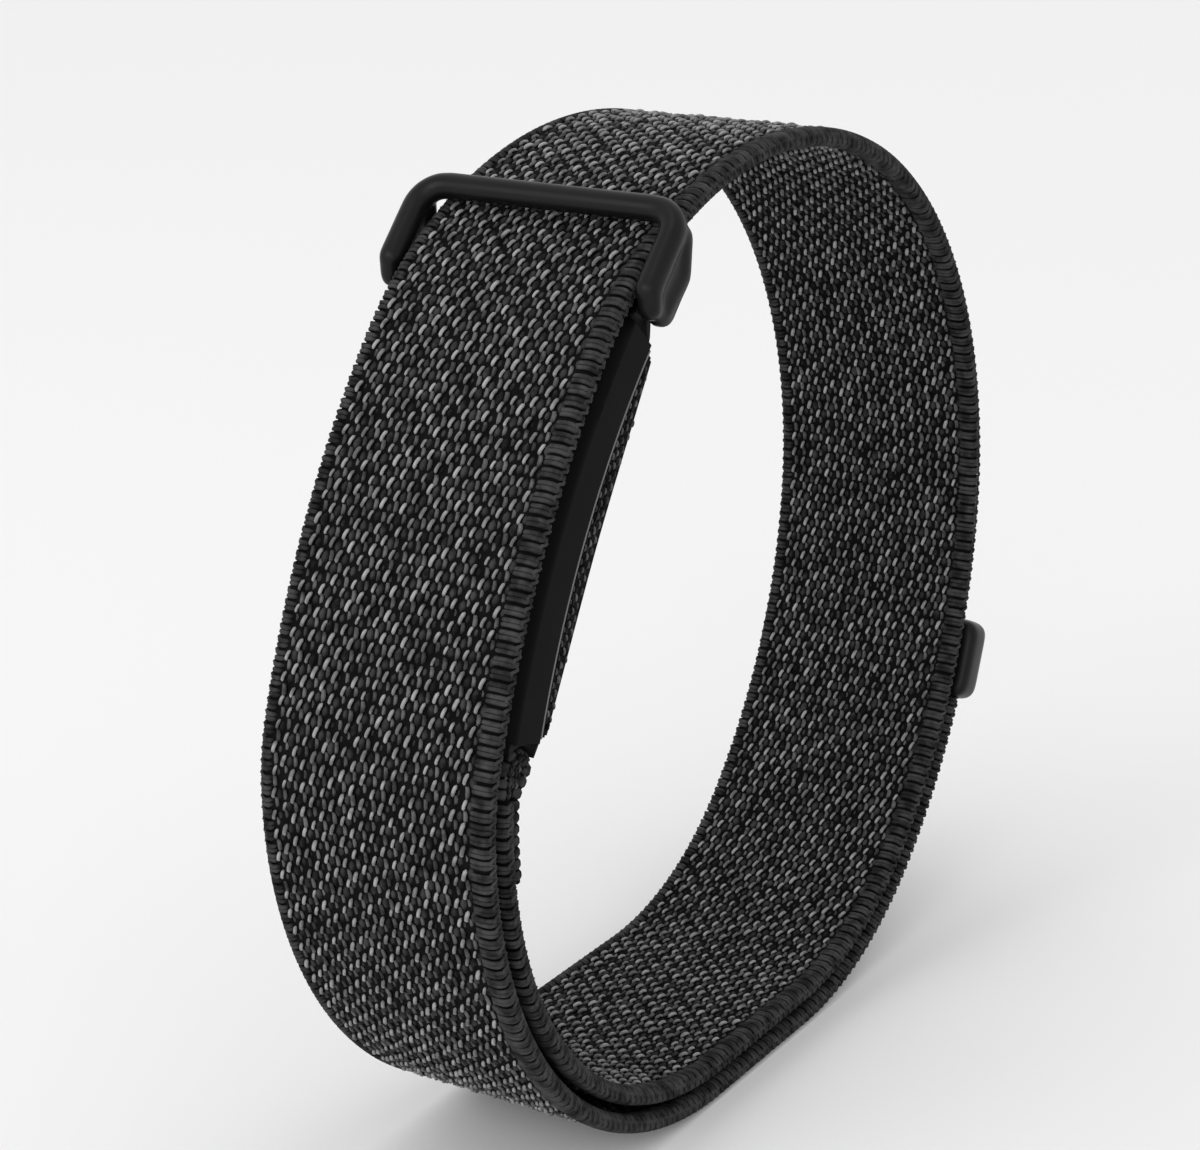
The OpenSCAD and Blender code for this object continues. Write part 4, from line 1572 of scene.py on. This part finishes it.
    def border(self, maker: MeshMaker, side: int) -> None:
        """The knit that turns up from the pad over the back plate's side.

        Args:
            maker: Where the faces go.
            side: 1 for the +Y side and -1 for the other.
        """
        shape, weave = self.webbing.shape, self.webbing.weave
        run = shape.pod_line(shape.gasket_t + 0.04, 0.6, 0.5)
        line = np.linspace(0.0, run.length, 90)
        near, far = shape.pod_half_w - 0.33, shape.pod_half_w - 0.24
        outline = ((near, 1.0), (far, 1.0), (far, 0.0), (near, 0.0))
        depth = self.border_depth(line / run.length)
        # the border's strip takes the core's near-black, which is painted shade
        maker.strip(run, line, outline, Yarn.SHADED_CORE.value, side, -depth)
        fine = self.fine
        cells = weave.cells(0.6 / fine, (run.length - 0.9) / fine)
        cells[:, 0] = 0.5 + np.abs(cells[:, 0])
        cells = cells[fine * (cells[:, 0] + 0.35) < self.border_depth(fine * cells[:, 1] / run.length)]
        for points, faces, yarn in weave.stitches(cells, True, 1, 83 + side):
            points = points * fine
            turned = np.stack([
                side * (shape.pod_half_w - 0.45 + points[:, 2]), points[:, 1],
                -np.clip(points[:, 0], 0.04, None)], axis=1)
            maker.add(run.place(turned), faces[:, ::side], yarn.value)

    def border_depth(self, share: np.ndarray) -> np.ndarray:
        """How far the border reaches down from the parting line, by its share of the length."""
        return 0.8 + 1.05 * (1 - np.abs(2 * share - 1) ** 2.4)


@dataclass
class HookPatch:
    """The hook tape under the tail: a thin backing with rows of small hooks."""

    webbing: Webbing
    start: float = 321.0
    end: float = 332.0
    half_w: float = 8.0
    low: float = 0.80
    high: float = 1.20
    backing_t: float = 0.12
    pitch: float = 0.62

    def build(self) -> None:
        """Makes the tape."""
        shape = self.webbing.shape
        run = Run.along([Bend(shape.centres()["right_low"], shape.right_low_r, self.start, self.end)])
        maker = MeshMaker()
        backing = self.high - self.backing_t
        outline = ((-self.half_w, backing), (self.half_w, backing),
                   (self.half_w, self.high), (-self.half_w, self.high))
        maker.strip(run, np.linspace(0.0, run.length, 14), outline)
        hook = Strand((
            (0.0, -0.08, backing + 0.03), (0.0, -0.06, backing - 0.14), (0.0, 0.06, self.low + 0.05),
            (0.0, 0.17, backing - 0.12)), 0.05, 0.05, 4, 5, 0.8)
        places = np.array([(across, along, 0.0) for along in np.arange(0.4, run.length - 0.3, self.pitch)
                           for across in np.arange(-self.half_w + 0.4, self.half_w - 0.3, self.pitch)])
        points, faces = hook.repeat(places)
        maker.add(run.place(points), faces)
        tape = YarnFinish("hook_tape", (0.012, 0.012, 0.0125), 0.3, 0.5).material()
        piece = maker.finish("hook_tape_patch", [tape])
        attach(piece, Body.TAIL.value)
        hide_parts("hook_patch")


def aimed(name: str, data: bpy.types.ID, place: Sequence[float],
          way: Sequence[float]) -> bpy.types.Object:
    """Adds a camera or a light.

    Args:
        name: Its name.
        data: The camera or light.
        place: Where it stands, in metres.
        way: The direction that it looks or shines in.

    Returns:
        The object.
    """
    made = add_object(name, data)
    made.location = place
    made.rotation_mode = "QUATERNION"
    made.rotation_quaternion = Vector(way).to_track_quat("-Z", "Y")
    return made


@dataclass
class Studio:
    """A pale floor, soft lights and the camera."""

    eye: Place = (-169.41, -98.37, 100.53)
    azimuth: float = 58.4
    elevation: float = 17.9
    lens: float = 84.0
    floor_colour: Colour = (0.84, 0.84, 0.84)

    def build(self) -> None:
        """Makes the camera first, then the floor and the lights."""
        self.camera()
        self.floor()
        self.lights()

    def camera(self) -> None:
        """The camera at the photograph's place."""
        data = bpy.data.cameras.new("camera")
        data.lens = self.lens
        data.sensor_width = 36.0
        data.clip_start = 0.01
        data.clip_end = 50.0
        turn, fall = math.radians(self.azimuth), math.radians(self.elevation)
        ahead = (math.sin(turn) * math.cos(fall), math.cos(turn) * math.cos(fall), -math.sin(fall))
        bpy.context.scene.camera = aimed("camera", data, Vector(self.eye) * MM, ahead)

    def floor(self) -> None:
        """A wide pale floor, which isn't part of the object."""
        maker = MeshMaker()
        half = 6.0
        corners = np.array([(-half, -half, 0.0), (half, -half, 0.0), (half, half, 0.0), (-half, half, 0.0)])
        maker.add(corners, np.array([[0, 1, 2, 3]]))
        nodes = Nodes("floor_paper")
        cloud = nodes.noise(3.0, 2.0)
        near = scaled(self.floor_colour, 0.995)
        nodes.link(nodes.ramp(cloud, [(0.3, near), (0.7, self.floor_colour)]), "Base Color")
        nodes.set("Roughness", 0.9)
        nodes.set("Specular IOR Level", 0.1)
        maker.finish("floor", [nodes.material])

    def lights(self) -> None:
        """A bright surround, two wide soft lights from above and from the left, and a small one."""
        world = bpy.data.worlds.new("surround")
        bpy.context.scene.world = world
        world.use_nodes = True
        surround = world.node_tree.nodes["Background"].inputs
        surround["Color"].default_value = (1.0, 1.0, 1.0, 1.0)
        surround["Strength"].default_value = 0.925
        self.wide_light("upper_light", (0.18, -0.05, -0.98), 0.2, 30.0)
        self.wide_light("side_light", (0.93, 0.25, -0.26), 0.6, 50.0)
        self.soft_box("left_light", (-0.45, 0.15, 0.25), 0.3, 0.6)

    def wide_light(self, name: str, way: Place, energy: float, spread: float) -> None:
        """A light as wide as a part of the sky.

        Args:
            name: The light's name.
            way: The direction that it shines in.
            energy: Its strength.
            spread: Its width in degrees.
        """
        data = bpy.data.lights.new(name, "SUN")
        data.energy = energy
        data.angle = math.radians(spread)
        aimed(name, data, (0.0, 0.0, 0.0), way)

    def soft_box(self, name: str, place: Place, size: float, power: float) -> None:
        """A square light that faces the strap.

        Args:
            name: The light's name.
            place: Where it is, in metres.
            size: The length of its sides.
            power: Its power in watts.
        """
        data = bpy.data.lights.new(name, "AREA")
        data.energy = power
        data.size = size
        aimed(name, data, place, Vector((0.0, 0.0, 0.035)) - Vector(place))


def main() -> None:
    """Builds the studio and every sub-assembly in order."""
    logging.basicConfig(level=logging.INFO, format="%(message)s")
    bpy.context.scene.view_settings.view_transform = "Standard"
    Studio().build()
    shape = RingShape()
    webbing = Webbing(shape)
    webbing.build()
    Tail(webbing).build()
    HookPatch(webbing).build()
    PodLoop(webbing).build()
    ComfortPad(webbing).build()
    Metalwork().build()
    Pod().build()


if __name__ == "__main__":
    main()
